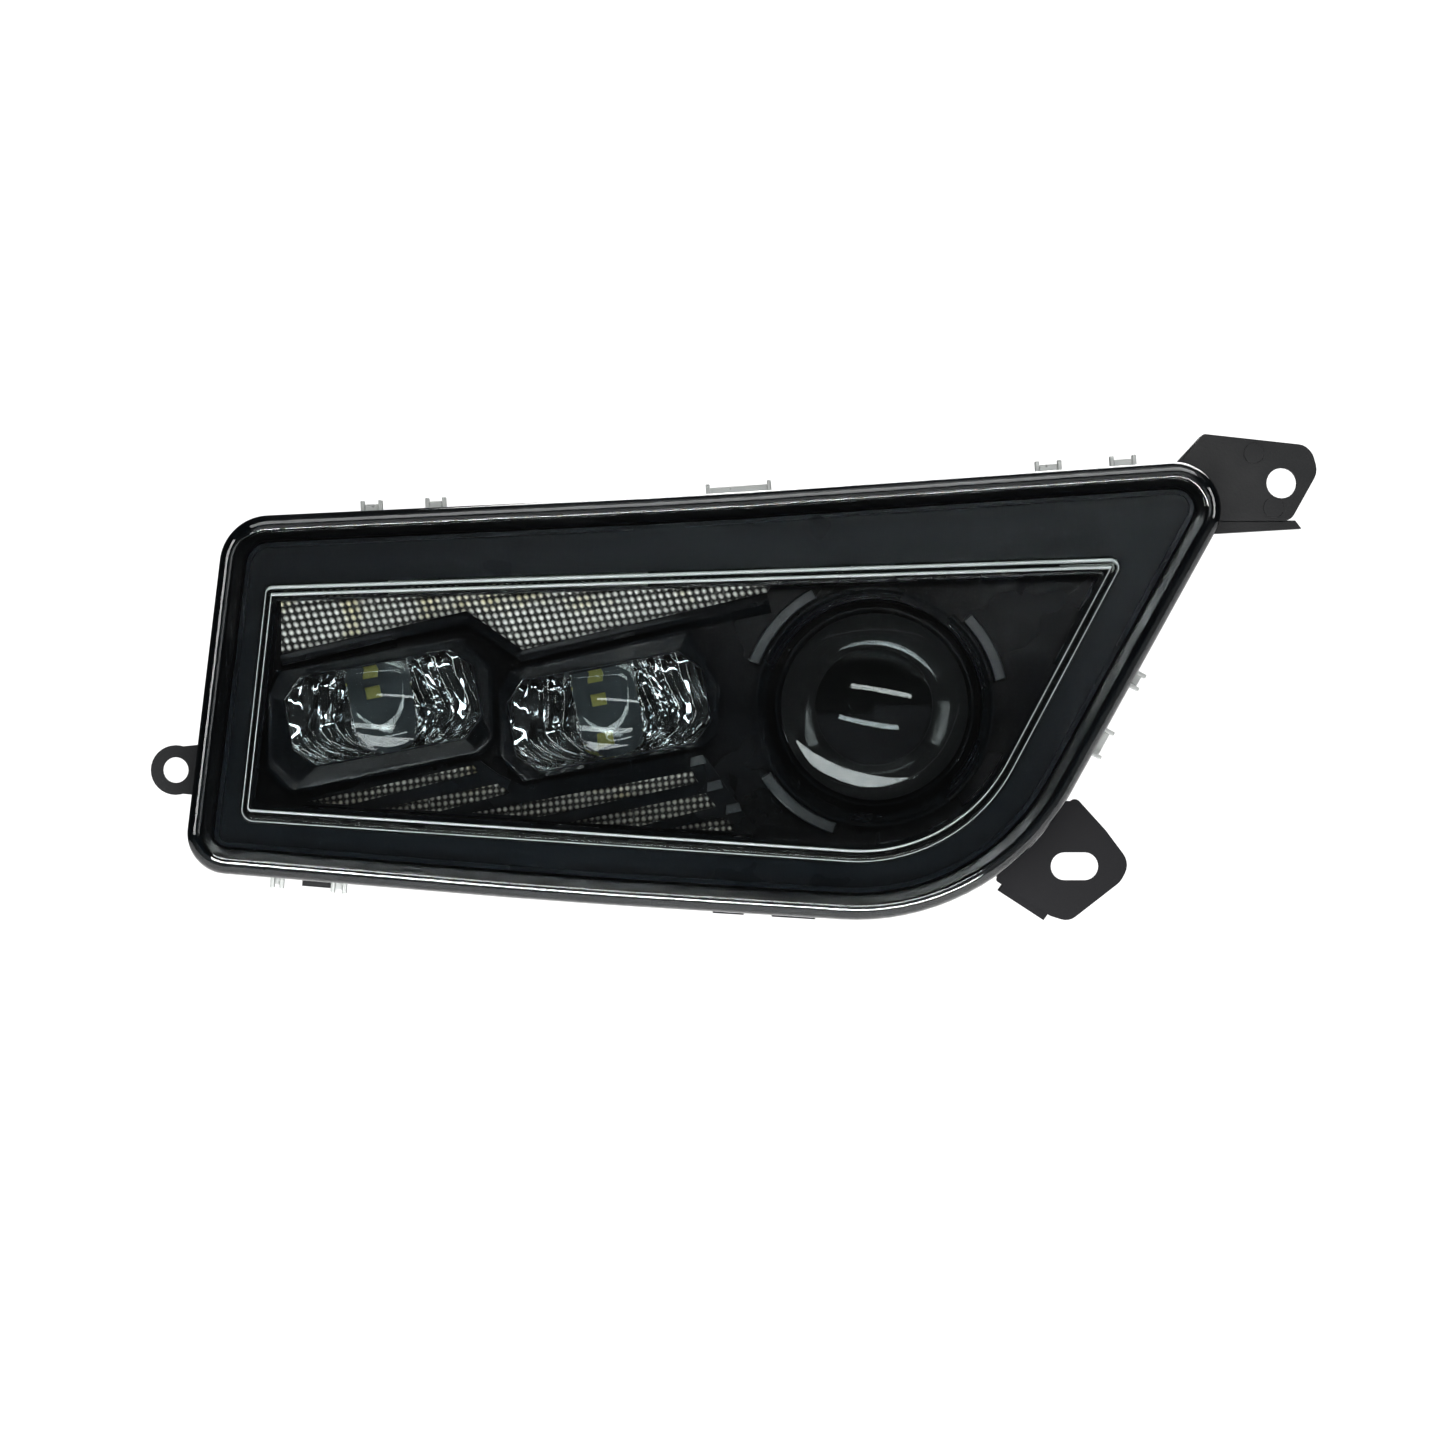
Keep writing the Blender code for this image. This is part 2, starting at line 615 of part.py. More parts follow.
def projector_lens():
    radius, edge_y, apex_y = 29.6, -34.0, -45.5
    height = edge_y - apex_y
    sphere = (radius ** 2 + height ** 2) / (2 * height)
    sweep = math.asin(radius / sphere)
    turns = [sweep * k / 5 for k in range(6)]
    dome = [(sphere * math.sin(t), apex_y + sphere * (1 - math.cos(t))) for t in turns]
    profile = dome + [(30.5, edge_y), (30.5, -31.0), (0.0, -31.0)]
    turned("projector_lens", profile, PROJECTOR, "projector_glass", steps=36)


def projector():
    x, z = PROJECTOR
    holder = [
        (30.9, -34.6), (32.3, -34.6), (32.3, -17.5), (36.0, -17.5), (36.0, -14.0), (28.0, -14.0),
        (28.0, -30.5), (30.9, -30.5),
    ]
    turned("lens_holder", holder, PROJECTOR, "gloss_black", steps=36, closed=True)
    arc = [math.radians(200 + 14 * k) for k in range(11)]
    shield = [(x + 27.4 * math.cos(a), z + 27.4 * math.sin(a)) for a in arc]
    shield += [(x + 25.5, z + 0.4), (x + 1.5, z + 0.4), (x - 1.5, z - 1.6), (x - 25.5, z - 1.6)]
    slab("cutoff_shield", [shield], -19.0, -18.2, "plated_steel")
    carrier_frame()
    bowl = [(27.0, -10.4), (32.5, -10.4), (32.5, -8.6), (29.5, -8.6)]
    inner = [(27.0, -10.4)]
    for k in range(1, 7):
        angle = math.radians(15 * k)
        y = -8.6 + 22.0 * math.sin(angle)
        bowl.append((10.0 + 19.5 * math.cos(angle), y))
        inner.append((10.0 + 17.0 * math.cos(angle), y - 1.6 * math.sin(angle)))
    inner[-1] = (9.2, 13.4)
    bowl[-1] = (11.2, 13.4)
    turned("reflector_bowl", bowl + inner[:0:-1], PROJECTOR, "chromed_reflector", steps=24, closed=True)
    board = rectangle(x - 17.0, z - 17.0, x + 17.0, z + 17.0, 2.0)
    slab("projector_led_board", [ring(board)], 13.8, 15.4, "circuit_board")
    fins = comb(x - 28.0, x + 28.0, (15.8, 20.0), 38.0, 9, 2.0)
    slab("projector_heat_sink", [fins], z - 25.0, z + 25.0, "die_cast_aluminium", along="Z")


def carrier_frame():
    x, z = PROJECTOR
    front, back = -13.7, -10.7
    hoop = [circle(PROJECTOR, 36.0, 40), circle(PROJECTOR, 27.0, 40)]
    frame = slab("carrier_frame", hoop, front, back, "die_cast_aluminium")
    join(frame, box("adjuster_arm", (x - 7.0, front, z + 30.0), (x + 7.0, back, z + BALL_ARM + 6.5)))
    for side in (-1, 1):
        ends = sorted((x + side * 34.8, x + side * (CHEEK_INNER - 0.6)))
        join(frame, box(f"pivot_lug_{side}", (ends[0], front, z - 5.5), (ends[1], PIVOT_Y + 4.5, z + 5.5)))
    for side in (-1, 1):
        ends = sorted((x + side * 33.0, x + side * 42.0))
        cut(frame, rod(f"lug_bore_{side}", (PIVOT_Y, z), PIN_RADIUS + GAP, *ends, along="X", segments=20))
    ball_z = z + BALL_ARM
    low, high = (x - 7.0, back + GAP, ball_z - 6.5), (x + 7.0, 1.0, ball_z + 6.5)
    socket = box("ball_socket", low, high, "white_nylon")
    mouth = rod("socket_mouth", (x, ball_z), 3.4, BALL_Y, 2.0)
    cut(socket, ball("socket_cavity", BALL_RADIUS + 0.35), mouth)


def ball(name, radius, material=None):
    bm = bmesh.new()
    bmesh.ops.create_uvsphere(bm, u_segments=16, v_segments=8, radius=radius * MM)
    centre = Vector((PROJECTOR[0], BALL_Y, PROJECTOR[1] + BALL_ARM)) * MM
    bmesh.ops.translate(bm, vec=centre, verts=bm.verts)
    mesh = bpy.data.meshes.new(name)
    bm.to_mesh(mesh)
    bm.free()
    return place(name, mesh, material)


def pivot_pins():
    for name, side in (("pivot_pin_left", -1), ("pivot_pin_right", 1)):
        ends = sorted(PROJECTOR[0] + side * end for end in PIN_ENDS)
        rod(name, (PIVOT_Y, PROJECTOR[1]), PIN_RADIUS, *ends, "plated_steel", along="X", segments=20)


def adjuster():
    centre = (PROJECTOR[0], PROJECTOR[1] + BALL_ARM)
    stud = ball("ball_stud", BALL_RADIUS, "plated_steel")
    join(stud, rod("stud_neck", centre, 2.2, BALL_Y, 8.0, segments=16))
    join(stud, rod("stud_shaft", centre, SHAFT_RADIUS, 7.0, 51.0, segments=20))
    bore, seat = SHAFT_RADIUS + GAP, POD_BACK + GAP
    bush = [(bore, 34.0), (6.4, 34.0), (6.4, seat), (9.5, seat), (9.5, 48.0), (bore, 48.0)]
    turned("adjuster_body", bush, centre, "white_nylon", steps=24, closed=True)
    grip = knob_outline(centre, 8.2, 7.0, KNOB_LOBES)
    knob = slab("adjuster_knob", [grip], 48.4, LAMP_BACK, "white_nylon")
    cut(knob, rod("knob_bore", centre, SHAFT_RADIUS + GAP, 47.0, 54.5, segments=20))


def knob_outline(centre, outer, inner, lobes):
    """A grip with shallow flutes."""
    points = []
    steps = lobes * 4
    for k in range(steps):
        radius = outer if k % 4 in (0, 1) else inner
        angle = 2 * math.pi * k / steps
        points.append((centre[0] + radius * math.cos(angle), centre[1] + radius * math.sin(angle)))
    return points


# ---- cover, bracket and electrics ----

def cover_outline(size, radius):
    x, z = PROJECTOR
    return rectangle(x - size / 2, z - size / 2, x + size / 2, z + size / 2, radius)


def cover_screws():
    x, z = PROJECTOR
    return [(x + sx * 23.5, z + sz * 23.5) for sx in (-1, 1) for sz in (-1, 1)]


def rear_cover():
    seal = [ring(cover_outline(46.0, 10.0)), ring(cover_outline(41.0, 8.5))]
    slab("cover_seal", seal, POD_BACK + GAP, 47.4, "seal_rubber")
    cover = slab("rear_cover", [ring(cover_outline(56.0, 6.0))], 47.7, 50.2, "black_housing")
    x, z = PROJECTOR
    for k in range(-3, 4):
        rib_x = x + k * 5.2
        join(cover, box(f"cover_rib_{k}", (rib_x - 0.9, 50.0, z - 18.0), (rib_x + 0.9, 54.0, z + 18.0)))
    holes = [rod(f"cover_hole_{k}", at, SCREW_SHANK + GAP, 47.0, 51.0, segments=12)
             for k, at in enumerate(cover_screws())]
    cut(cover, *holes)


def screw(name, at, seat, length):
    """A pan-head screw driven towards the front from its seat."""
    tip, under_head = seat - length, seat + GAP
    profile = [
        (0.0, tip), (SCREW_SHANK, tip), (SCREW_SHANK, under_head), (SCREW_HEAD, under_head),
        (SCREW_HEAD, seat + 1.6), (2.6, seat + 2.6), (0.0, seat + 2.6),
    ]
    turned(name, profile, at, "plated_steel", steps=12)


def screws():
    for number, at in enumerate(cover_screws(), 1):
        screw(f"cover_screw_{number}", at, 50.2, 10.0)
    for number, at in enumerate(sink_screws(), 1):
        screw(f"sink_screw_{number}", at, SINK_BASE[1], 8.0)
    for number, at in enumerate(bracket_screws(), 1):
        screw(f"bracket_screw_{number}", at, BRACKET_TAB[1], 8.0)


def on_arc(degrees, inset):
    angle = math.radians(degrees)
    radius = ARC_RADIUS - inset
    return (ARC_CENTRE[0] + radius * math.cos(angle), ARC_CENTRE[1] + radius * math.sin(angle))


def bracket_screws():
    return [on_arc(-38.5, 11.0), on_arc(-50.0, 11.0)]


def arc_strip(first, last, outer, inner, steps=6):
    angles = [first + (last - first) * k / steps for k in range(steps + 1)]
    return [on_arc(a, outer) for a in angles] + [on_arc(a, inner) for a in reversed(angles)]


def lower_bracket():
    inner_edge = [on_arc(-56.0 + 4.0 * k, 2.4) for k in range(7)]
    outer_edge = ring([
        (109.9, -38.4, 2.0), (119.8, -49.3, 8.0), (127.8, -60.0, 6.0), (124.6, -66.0, 6.0),
        (108.0, -78.9, 5.0), (101.9, -77.0, 4.0), (84.0, -65.4, 1.0),
    ])
    cut_back = outer_edge + inner_edge
    half_x, half_z = SLOT_LENGTH / 2, SLOT_WIDTH / 2
    x, z = SLOT_CENTRE
    slot = ring(rectangle(x - half_x, z - half_z, x + half_x, z + half_z, half_z - 0.02))
    plate = (BRACKET_FRONT, BRACKET_FRONT + BRACKET_THICKNESS)
    bracket = slab("lower_bracket", [cut_back, slot], *plate, "black_steel")
    web = arc_strip(-34.0, -55.0, 0.6, 3.1)
    join(bracket, slab("bracket_web", [web], BRACKET_FRONT + 0.6, BRACKET_TAB[1] - 0.6))
    join(bracket, slab("bracket_tab", [arc_strip(-33.0, -56.0, 1.0, 15.0)], *BRACKET_TAB))
    fold = [(86.6, -66.9), (101.2, -76.4), (99.8, -78.4), (85.2, -68.9)]
    join(bracket, slab("bracket_fold", [fold], BRACKET_FRONT + 0.4, BRACKET_FRONT + 12.0))
    holes = [rod(f"bracket_hole_{k}", at, SCREW_SHANK + GAP, WALL_BACK, BRACKET_TAB[1] + 1, segments=12)
             for k, at in enumerate(bracket_screws())]
    cut(bracket, *holes)


def electrics():
    x, z = CONNECTOR
    base = WALL_BACK + GAP
    foot = ring(rectangle(x - 17.0, z - 10.0, x + 17.0, z + 10.0, 3.0))
    shroud = ring(rectangle(x - 13.0, z - 7.5, x + 13.0, z + 7.5, 2.0))
    mouth = ring(rectangle(x - 11.2, z - 5.7, x + 11.2, z + 5.7, 1.2))
    socket = slab("connector_socket", [foot], base, base + 2.5, "black_housing")
    join(socket, slab("socket_shroud", [shroud], base + 1, 25.0))
    cut(socket, slab("socket_mouth", [mouth], base + 4, 26.0))
    for k in range(4):
        pin_x = x + (k - 1.5) * 4.8
        box(f"terminal_{k + 1}", (pin_x - 1.3, base + 4.3, z - 0.4), (pin_x + 1.3, 18.5, z + 0.4), "brass")
    slab("driver_board", [ring(rectangle(-112.0, 19.0, -28.0, 40.0, 2.0))], -10.0, -8.4, "circuit_board")
    for number, at in enumerate(VENTS, 1):
        cap = [(0.0, base), (7.5, base), (7.5, base + 3.4), (6.3, base + 4.6), (0.0, base + 4.6)]
        turned(f"vent_cap_{number}", cap, at, "seal_rubber", steps=20)


outer_lens()
lens_seal()
rear_housing()
bezel_frame()
light_guide()
inner_bezel()
marker()
louvers()
optic_modules()
module_heat_sink()
projector_shroud()
projector_lens()
projector()
pivot_pins()
adjuster()
rear_cover()
screws()
lower_bracket()
electrics()
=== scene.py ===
# %% [markdown]
# # A clear-fronted LED headlight
# This lesson dresses a finished mechanical model of a small vehicle's LED headlight. The mechanical
# model gives every size and every moving part. Here each visible piece gets its real surface: clear
# polycarbonate, moulded black plastic, metallised reflectors, beaded strips and plated steel.

import json
import math

import bmesh
import bpy
from mathutils import Matrix, Vector


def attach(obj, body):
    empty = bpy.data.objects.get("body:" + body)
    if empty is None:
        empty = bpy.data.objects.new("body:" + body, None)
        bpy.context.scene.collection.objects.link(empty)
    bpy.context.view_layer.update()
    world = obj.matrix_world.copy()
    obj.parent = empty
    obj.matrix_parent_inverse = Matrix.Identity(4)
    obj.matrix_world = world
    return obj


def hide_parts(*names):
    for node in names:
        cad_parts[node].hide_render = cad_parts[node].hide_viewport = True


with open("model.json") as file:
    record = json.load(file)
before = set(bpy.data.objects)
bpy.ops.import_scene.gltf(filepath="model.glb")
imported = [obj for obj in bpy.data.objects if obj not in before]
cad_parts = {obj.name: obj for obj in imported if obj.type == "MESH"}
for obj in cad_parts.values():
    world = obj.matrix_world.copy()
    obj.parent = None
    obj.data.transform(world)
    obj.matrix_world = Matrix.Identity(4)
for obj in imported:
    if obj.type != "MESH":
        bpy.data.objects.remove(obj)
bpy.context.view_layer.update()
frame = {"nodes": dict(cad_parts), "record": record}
MM = 0.001
NODES = frame["nodes"]
BODY_OF = {node: body for body, nodes in frame["record"]["behaviour"]["bodies"].items() for node in nodes}
SLOT_OF = {entry["node"]: entry["material_slot"] for entry in frame["record"]["subparts"]}

# %% [markdown]
# ## Colours and nodes
# A colour picked on a screen is an sRGB value, but the shader multiplies light, so it needs linear
# numbers. One function turns a hex code into linear. A second adds one node with its settings and its
# links, so that a material reads as a short recipe.

# %% Helpers for materials


def linear(code):
    """sRGB hex to a linear colour with alpha."""
    values = [int(code[i:i + 2], 16) / 255 for i in (1, 3, 5)]
    return [v / 12.92 if v <= 0.04045 else ((v + 0.055) / 1.055) ** 2.4 for v in values] + [1.0]


def add(tree, kind, inputs=None, **settings):
    """One node; an input that is a socket is linked, and any other value is set."""
    node = tree.nodes.new(kind)
    for name, value in settings.items():
        setattr(node, name, value)
    for name, value in (inputs or {}).items():
        if isinstance(value, bpy.types.NodeSocket):
            tree.links.new(value, node.inputs[name])
        else:
            node.inputs[name].default_value = value
    return node


def new_material(name):
    material = bpy.data.materials.new(name)
    material.use_nodes = True
    tree = material.node_tree
    shader = tree.nodes["Principled BSDF"]
    return material, tree, shader


def blend(tree, share, first, second):
    """A colour between two hex codes, or between a hex code and a colour socket."""
    second = linear(second) if isinstance(second, str) else second
    mix = add(tree, "ShaderNodeMix", {"Factor": share, "A": linear(first), "B": second}, data_type="RGBA")
    return mix.outputs["Result"]


def noise(tree, where, size_mm, detail=2.0):
    """Noise whose cells are size_mm across."""
    cells = add(tree, "ShaderNodeTexNoise", {"Vector": where, "Scale": 1 / (size_mm * MM), "Detail": detail})
    return cells.outputs["Fac"]


def spread_over(tree, value, low, high, start=0.3, end=0.7):
    """The part of value from start to end, stretched over low to high."""
    stretched = add(tree, "ShaderNodeMapRange", {"Value": value, "From Min": start, "From Max": end,
                                                 "To Min": low, "To Max": high})
    return stretched.outputs["Result"]


def grain_bump(tree, where, size_mm, depth_mm, strength):
    height = noise(tree, where, size_mm)
    bump = add(tree, "ShaderNodeBump", {"Height": height, "Distance": depth_mm * MM, "Strength": strength})
    return bump.outputs["Normal"]


def wire(tree, shader, links, values):
    """Set the shader's own sockets, then link the ones that vary over the surface."""
    for name, value in values.items():
        shader.inputs[name].default_value = value
    for name, socket in links.items():
        tree.links.new(socket, shader.inputs[name])


def place_on(tree):
    """The piece's own position in metres, the base of every pattern."""
    return add(tree, "ShaderNodeTexCoord").outputs["Object"]


# %% [markdown]
# ## Moulded plastics
# Most of the lamp is injection-moulded. A steel mould leaves a fine etched grain on the housing and a
# smooth satin on the bezel. Grain is a height, so it goes into a bump. Flow and handling change the
# gloss a little from place to place, so the roughness gets a slow cloud of noise as well.

# %% Moulded plastic materials


def moulded(name, color, lighter, rough, grain_mm, grain_depth, cloud_mm=30.0, spread=0.06, specular=0.5):
    """Opaque moulded plastic with an etched grain and a slow change of gloss."""
    material, tree, shader = new_material(name)
    where = place_on(tree)
    cloud = noise(tree, where, cloud_mm, 3.0)
    wire(tree, shader,
         {"Base Color": blend(tree, cloud, color, lighter),
          "Roughness": spread_over(tree, cloud, rough - spread, rough + spread),
          "Normal": grain_bump(tree, where, grain_mm, grain_depth, 0.6)},
         {"IOR": 1.49, "Specular IOR Level": specular})
    return material


# Glass-filled polypropylene in an etched mould: dull, with a grain that catches side light.
housing_plastic = moulded("etched_polypropylene", "#0a0b0d", "#121417", 0.50, 0.8, 0.08, specular=0.4)
# ABS from a fine satin mould: the flat bezel frame, slightly blue-green against the deep inside.
satin_bezel = moulded("satin_abs", "#080d11", "#0d1317", 0.32, 0.5, 0.008, specular=0.14)
# The inner bezel is the same ABS from a smoother mould, with its colour painted darker: painted shade for
# its place deep inside the light guide.
shaded_inner_abs = moulded("semi_gloss_abs_painted_shade", "#020508", "#05090c", 0.26, 0.6, 0.006, specular=0.16)
# Gloss black cups round the optics.
gloss_cup = moulded("gloss_abs", "#030609", "#070b0e", 0.20, 0.6, 0.005, specular=0.25)
# Raised pieces are painted a little paler than the rest: a painted highlight for the light that they catch
# standing forward.
lit_raised_abs = moulded("raised_abs_painted_highlight", "#12171a", "#1b2124", 0.34, 0.6, 0.006)
# Natural nylon has a waxy off-white and wears to a soft sheen.
natural_nylon = moulded("natural_nylon", "#c9c6ba", "#dad8cf", 0.42, 0.6, 0.02)
# Rubber seals are dull and slightly dusty.
seal_rubber = moulded("moulded_epdm_rubber", "#131313", "#1f1f1e", 0.78, 0.5, 0.05)
# White solder mask over a glass-fibre board.
white_board = moulded("white_solder_mask", "#c8ccc6", "#dcdfda", 0.38, 0.7, 0.01)
# The projector's own board is masked black, so that it sends no stray light forwards.
black_board = moulded("black_solder_mask", "#0c100e", "#151b17", 0.30, 0.7, 0.01)
# The optics' boards are anodised aluminium, which carries the chips' heat away.
grey_board = moulded("anodised_board", "#4a5258", "#545c62", 0.4, 0.4, 0.01)
print("moulded finishes up to", grey_board.name)

# %% [markdown]
# ## Clear plastics
# Polycarbonate bends light a lot (IOR 1.585), acrylic a little less (1.49). A renderer stops lamp light
# at a glass wall, which would leave everything behind the lens black, so rays that only test for shadow
# pass straight through. What is seen still goes through real glass.

# %% Clear materials
HALF_CLEAR = "#bcbcbc"  # the other half of the light already comes through the refracting path


def clear(name, ior, rough, tint, wave_mm=9.0, wave_depth=0.004, clarity=1.0, lets_light_in=True):
    """Moulded clear plastic: real refraction for what is seen, a plain opening for lamp light."""
    material, tree, shader = new_material(name)
    where = place_on(tree)
    wave = noise(tree, where, wave_mm, 1.0)
    haze = spread_over(tree, wave, rough * 0.6, rough * 1.5, 0.0, 1.0)
    bump = add(tree, "ShaderNodeBump", {"Height": wave, "Distance": wave_depth * MM, "Strength": 0.5})
    wire(tree, shader, {"Roughness": haze, "Normal": bump.outputs["Normal"]},
         {"Base Color": linear(tint), "IOR": ior, "Transmission Weight": clarity})
    if not lets_light_in:
        return material
    rays = add(tree, "ShaderNodeLightPath")
    opening = add(tree, "ShaderNodeBsdfTransparent", {"Color": linear(HALF_CLEAR)})
    mix = add(tree, "ShaderNodeMixShader", {"Fac": rays.outputs["Is Shadow Ray"]})
    tree.links.new(shader.outputs[0], mix.inputs[1])
    tree.links.new(opening.outputs[0], mix.inputs[2])
    tree.links.new(mix.outputs[0], tree.nodes["Material Output"].inputs["Surface"])
    return material


clear_polycarbonate = clear("hard_coated_polycarbonate", 1.585, 0.012, "#f4f8f8")
clear_acrylic = clear("polished_acrylic", 1.49, 0.05, "#f6f8f8", wave_mm=4.0)
clear_optic = clear("moulded_pmma_optic", 1.49, 0.01, "#f7fafa", wave_mm=6.0)
clear_tab = clear("cut_polycarbonate_tab", 1.585, 0.30, "#b2b5b3", wave_mm=3.0, clarity=0.35)
# Pale frosted strips on the light guide's edges: painted highlights for its bright edge lines.
frosted_highlight_edge = clear("frosted_acrylic_highlight", 1.49, 0.35, "#cdd1d1", wave_mm=2.0, clarity=0.25)
projector_glass = clear("ground_projector_glass", 1.52, 0.006, "#eef4f6", wave_mm=20.0, wave_depth=0.001,
                        lets_light_in=False)
print("clear finishes up to", projector_glass.name)

# %% [markdown]
# ## Metals
# A metal has no colour of its own under the surface, so metallic is 1 and the finish is all in the
# roughness. Vapour-metallised plastic is nearly a mirror, zinc plating is brighter and uneven, die-cast
# aluminium is blasted to a soft grey, and brass blades are drawn, which leaves fine lines.

# %% Metal materials


def metal(name, color, darker, rough, patch_mm, spread, grain_mm=0.6, grain_depth=0.01):
    """Metal whose colour and roughness change over patches, with a fine grain."""
    material, tree, shader = new_material(name)
    where = place_on(tree)
    patch = noise(tree, where, patch_mm, 4.0)
    wire(tree, shader,
         {"Base Color": blend(tree, patch, darker, color),
          "Roughness": spread_over(tree, patch, rough + spread, rough - spread),
          "Normal": grain_bump(tree, where, grain_mm, grain_depth, 0.5)}, {"Metallic": 1.0})
    return material


mirror_coat = metal("vapour_metallised_reflector", "#c6cacd", "#aeb2b5", 0.06, 12.0, 0.03,
                    grain_depth=0.0006)
# The projector's own bowl gets a dark mirror coat: painted shade for the dark inside of the projector.
shaded_bowl_mirror = metal("reflector_coat_painted_shade", "#34373a", "#222426", 0.20, 9.0, 0.04, grain_depth=0.0006)
blasted_aluminium = metal("blasted_die_cast_aluminium", "#a9abac", "#8d9092", 0.48, 8.0, 0.08, 0.7, 0.03)
zinc_plate = metal("zinc_plated_steel", "#c3c1b7", "#9f9c90", 0.30, 3.0, 0.08)
brass_blade = metal("drawn_brass", "#c9a25c", "#a57f3f", 0.28, 2.0, 0.06)
# Powder coat on sheet steel isn't bare metal: a dull black skin with the coat's orange peel.
powder_steel = moulded("powder_coated_steel", "#08080b", "#101014", 0.60, 0.9, 0.05, spread=0.05,
                       specular=0.3)
print("metal finishes up to", powder_steel.name)

# %% [markdown]
# ## Pieces
# Each new piece rides on a body of the mechanical model and hides the solid that it stands for. A solid
# whose form is right but whose edges are razor sharp is copied, its flat faces are joined up again and
# its edges are rounded: a rounded edge is what catches a thin line of light on a real moulding.

# %% Helpers for pieces


def register(obj, material, body, *nodes):
    """Give the piece its material and body, and hide the solids that it stands for."""
    obj.data.materials.clear()
    obj.data.materials.append(material)
    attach(obj, body)
    if nodes:
        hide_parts(*nodes)
    return obj


def from_bmesh(name, bm, smooth_angle=32.0):
    """A smooth object whose edges stay sharp above smooth_angle, in degrees."""
    bmesh.ops.recalc_face_normals(bm, faces=bm.faces)
    mesh = bpy.data.meshes.new(name)
    bm.to_mesh(mesh)
    bm.free()
    mesh.shade_smooth()
    mesh.set_sharp_from_angle(angle=math.radians(smooth_angle))
    obj = bpy.data.objects.new(name, mesh)
    bpy.context.scene.collection.objects.link(obj)
    return obj


def flat_faces_first(obj):
    """Let big flat faces set the shading, so that they mirror like flat sheets."""
    normals = obj.modifiers.new("normals", "WEIGHTED_NORMAL")
    normals.keep_sharp = True
    return obj


def ease_edges(obj, width, segments=2, angle=32.0):
    """Round every edge that turns by more than angle; width in mm."""
    bevel = obj.modifiers.new("edge", "BEVEL")
    bevel.width = width * MM
    bevel.segments = segments
    bevel.limit_method = "ANGLE"
    bevel.angle_limit = math.radians(angle)
    bevel.use_clamp_overlap = True
    bevel.miter_outer = "MITER_ARC"
    return flat_faces_first(obj)


SLIVER = 0.02  # points closer than this, in mm, are one point
FLAT = math.radians(1.0)  # faces that meet at less than this are one flat face


def eased_copy(node, material, width, segments=2):
    """A copy of a solid with its flat faces whole again and its edges rounded."""
    bm = bmesh.new()
    bm.from_mesh(NODES[node].data)
    bm.transform(NODES[node].matrix_world)
    bmesh.ops.remove_doubles(bm, verts=bm.verts, dist=SLIVER * MM)
    bmesh.ops.dissolve_limit(bm, angle_limit=FLAT, verts=bm.verts, edges=bm.edges)
    obj = from_bmesh(node + "_finished", bm)
    ease_edges(obj, width, segments)
    return register(obj, material, BODY_OF[node], node)


# %% [markdown]
# ## Outlines
# The lens, the bezel and the light guide all follow rounded outlines. A corner is a point with a radius,
# and the outline can be moved inwards by one distance, or by one for each edge, while its corners stay
# true arcs. Every outline made from the same corners has the same number of points, so that outlines at
# different depths can be joined into one skin.

# %% Outline helpers
LENS = [
    (-162.7, 50.9, 16.0),
    (-11.0, 58.1, 1500.0),
    (166.9, 70.5, 15.0),
    (83.4, -80.6, 78.0),
    (-55.8, -71.9, 1500.0),
    (-176.2, -61.8, 13.0),
]
GUIDE = [(-149.6, 29.1, 2.5), (125.0, 38.1, 3.0), (72.0, -61.6, 56.0), (-157.9, -46.1, 4.0)]
GUIDE_WIDTHS = [3.6, 3.0, 4.2, 2.5]
ARC_STEP = math.radians(4)


def ring(corners, inset=0.0):
    """Rounded outline, clockwise as seen from the front, moved inwards by inset."""
    count = len(corners)
    insets = inset if isinstance(inset, list) else [inset] * count
    sharp = [Vector(corner[:2]) for corner in corners]
    outline = []
    for i, (_, _, radius) in enumerate(corners):
        before = (sharp[i] - sharp[i - 1]).normalized()
        after = (sharp[(i + 1) % count] - sharp[i]).normalized()
        normal_before = Vector((before.y, -before.x)) * insets[i - 1]
        normal_after = Vector((after.y, -after.x)) * insets[i]
        along = (normal_after - normal_before).cross(after) / before.cross(after)
        corner = sharp[i] + normal_before + before * along
        turn = before.angle_signed(after)
        side = math.copysign(1.0, turn)
        radius = max(radius - side * (insets[i - 1] + insets[i]) / 2, 0.2)
        start = corner - before * radius * math.tan(abs(turn) / 2)
        centre = start + Vector((before.y, -before.x)) * side * radius
        steps = max(1, math.ceil(abs(turn) / ARC_STEP))
        for k in range(steps + 1):
            spoke = start - centre
            spoke.rotate(Matrix.Rotation(-turn * k / steps, 2))
            outline.append(tuple(centre + spoke))
    return outline


def skin(bm, sections, closed=False):
    """Faces between matching outlines at (outline, y); closed joins the last to the first."""
    loops = [[bm.verts.new((x * MM, y * MM, z * MM)) for x, z in outline] for outline, y in sections]
    count = len(loops[0])
    pairs = list(zip(loops, loops[1:])) + ([(loops[-1], loops[0])] if closed else [])
    for near, far in pairs:
        for i in range(count):
            j = (i + 1) % count
            bm.faces.new((near[i], near[j], far[j], far[i]))
    return loops


def tube_of(name, sections):
    """A closed ring with the section that the outlines describe."""
    bm = bmesh.new()
    skin(bm, sections, closed=True)
    return from_bmesh(name, bm)


def prism(bm, outline, front, back):
    """A solid with one outline from front to back."""
    loops = skin(bm, [(outline, front), (outline, back)])
    bm.faces.new(loops[0])
    bm.faces.new(loops[1])


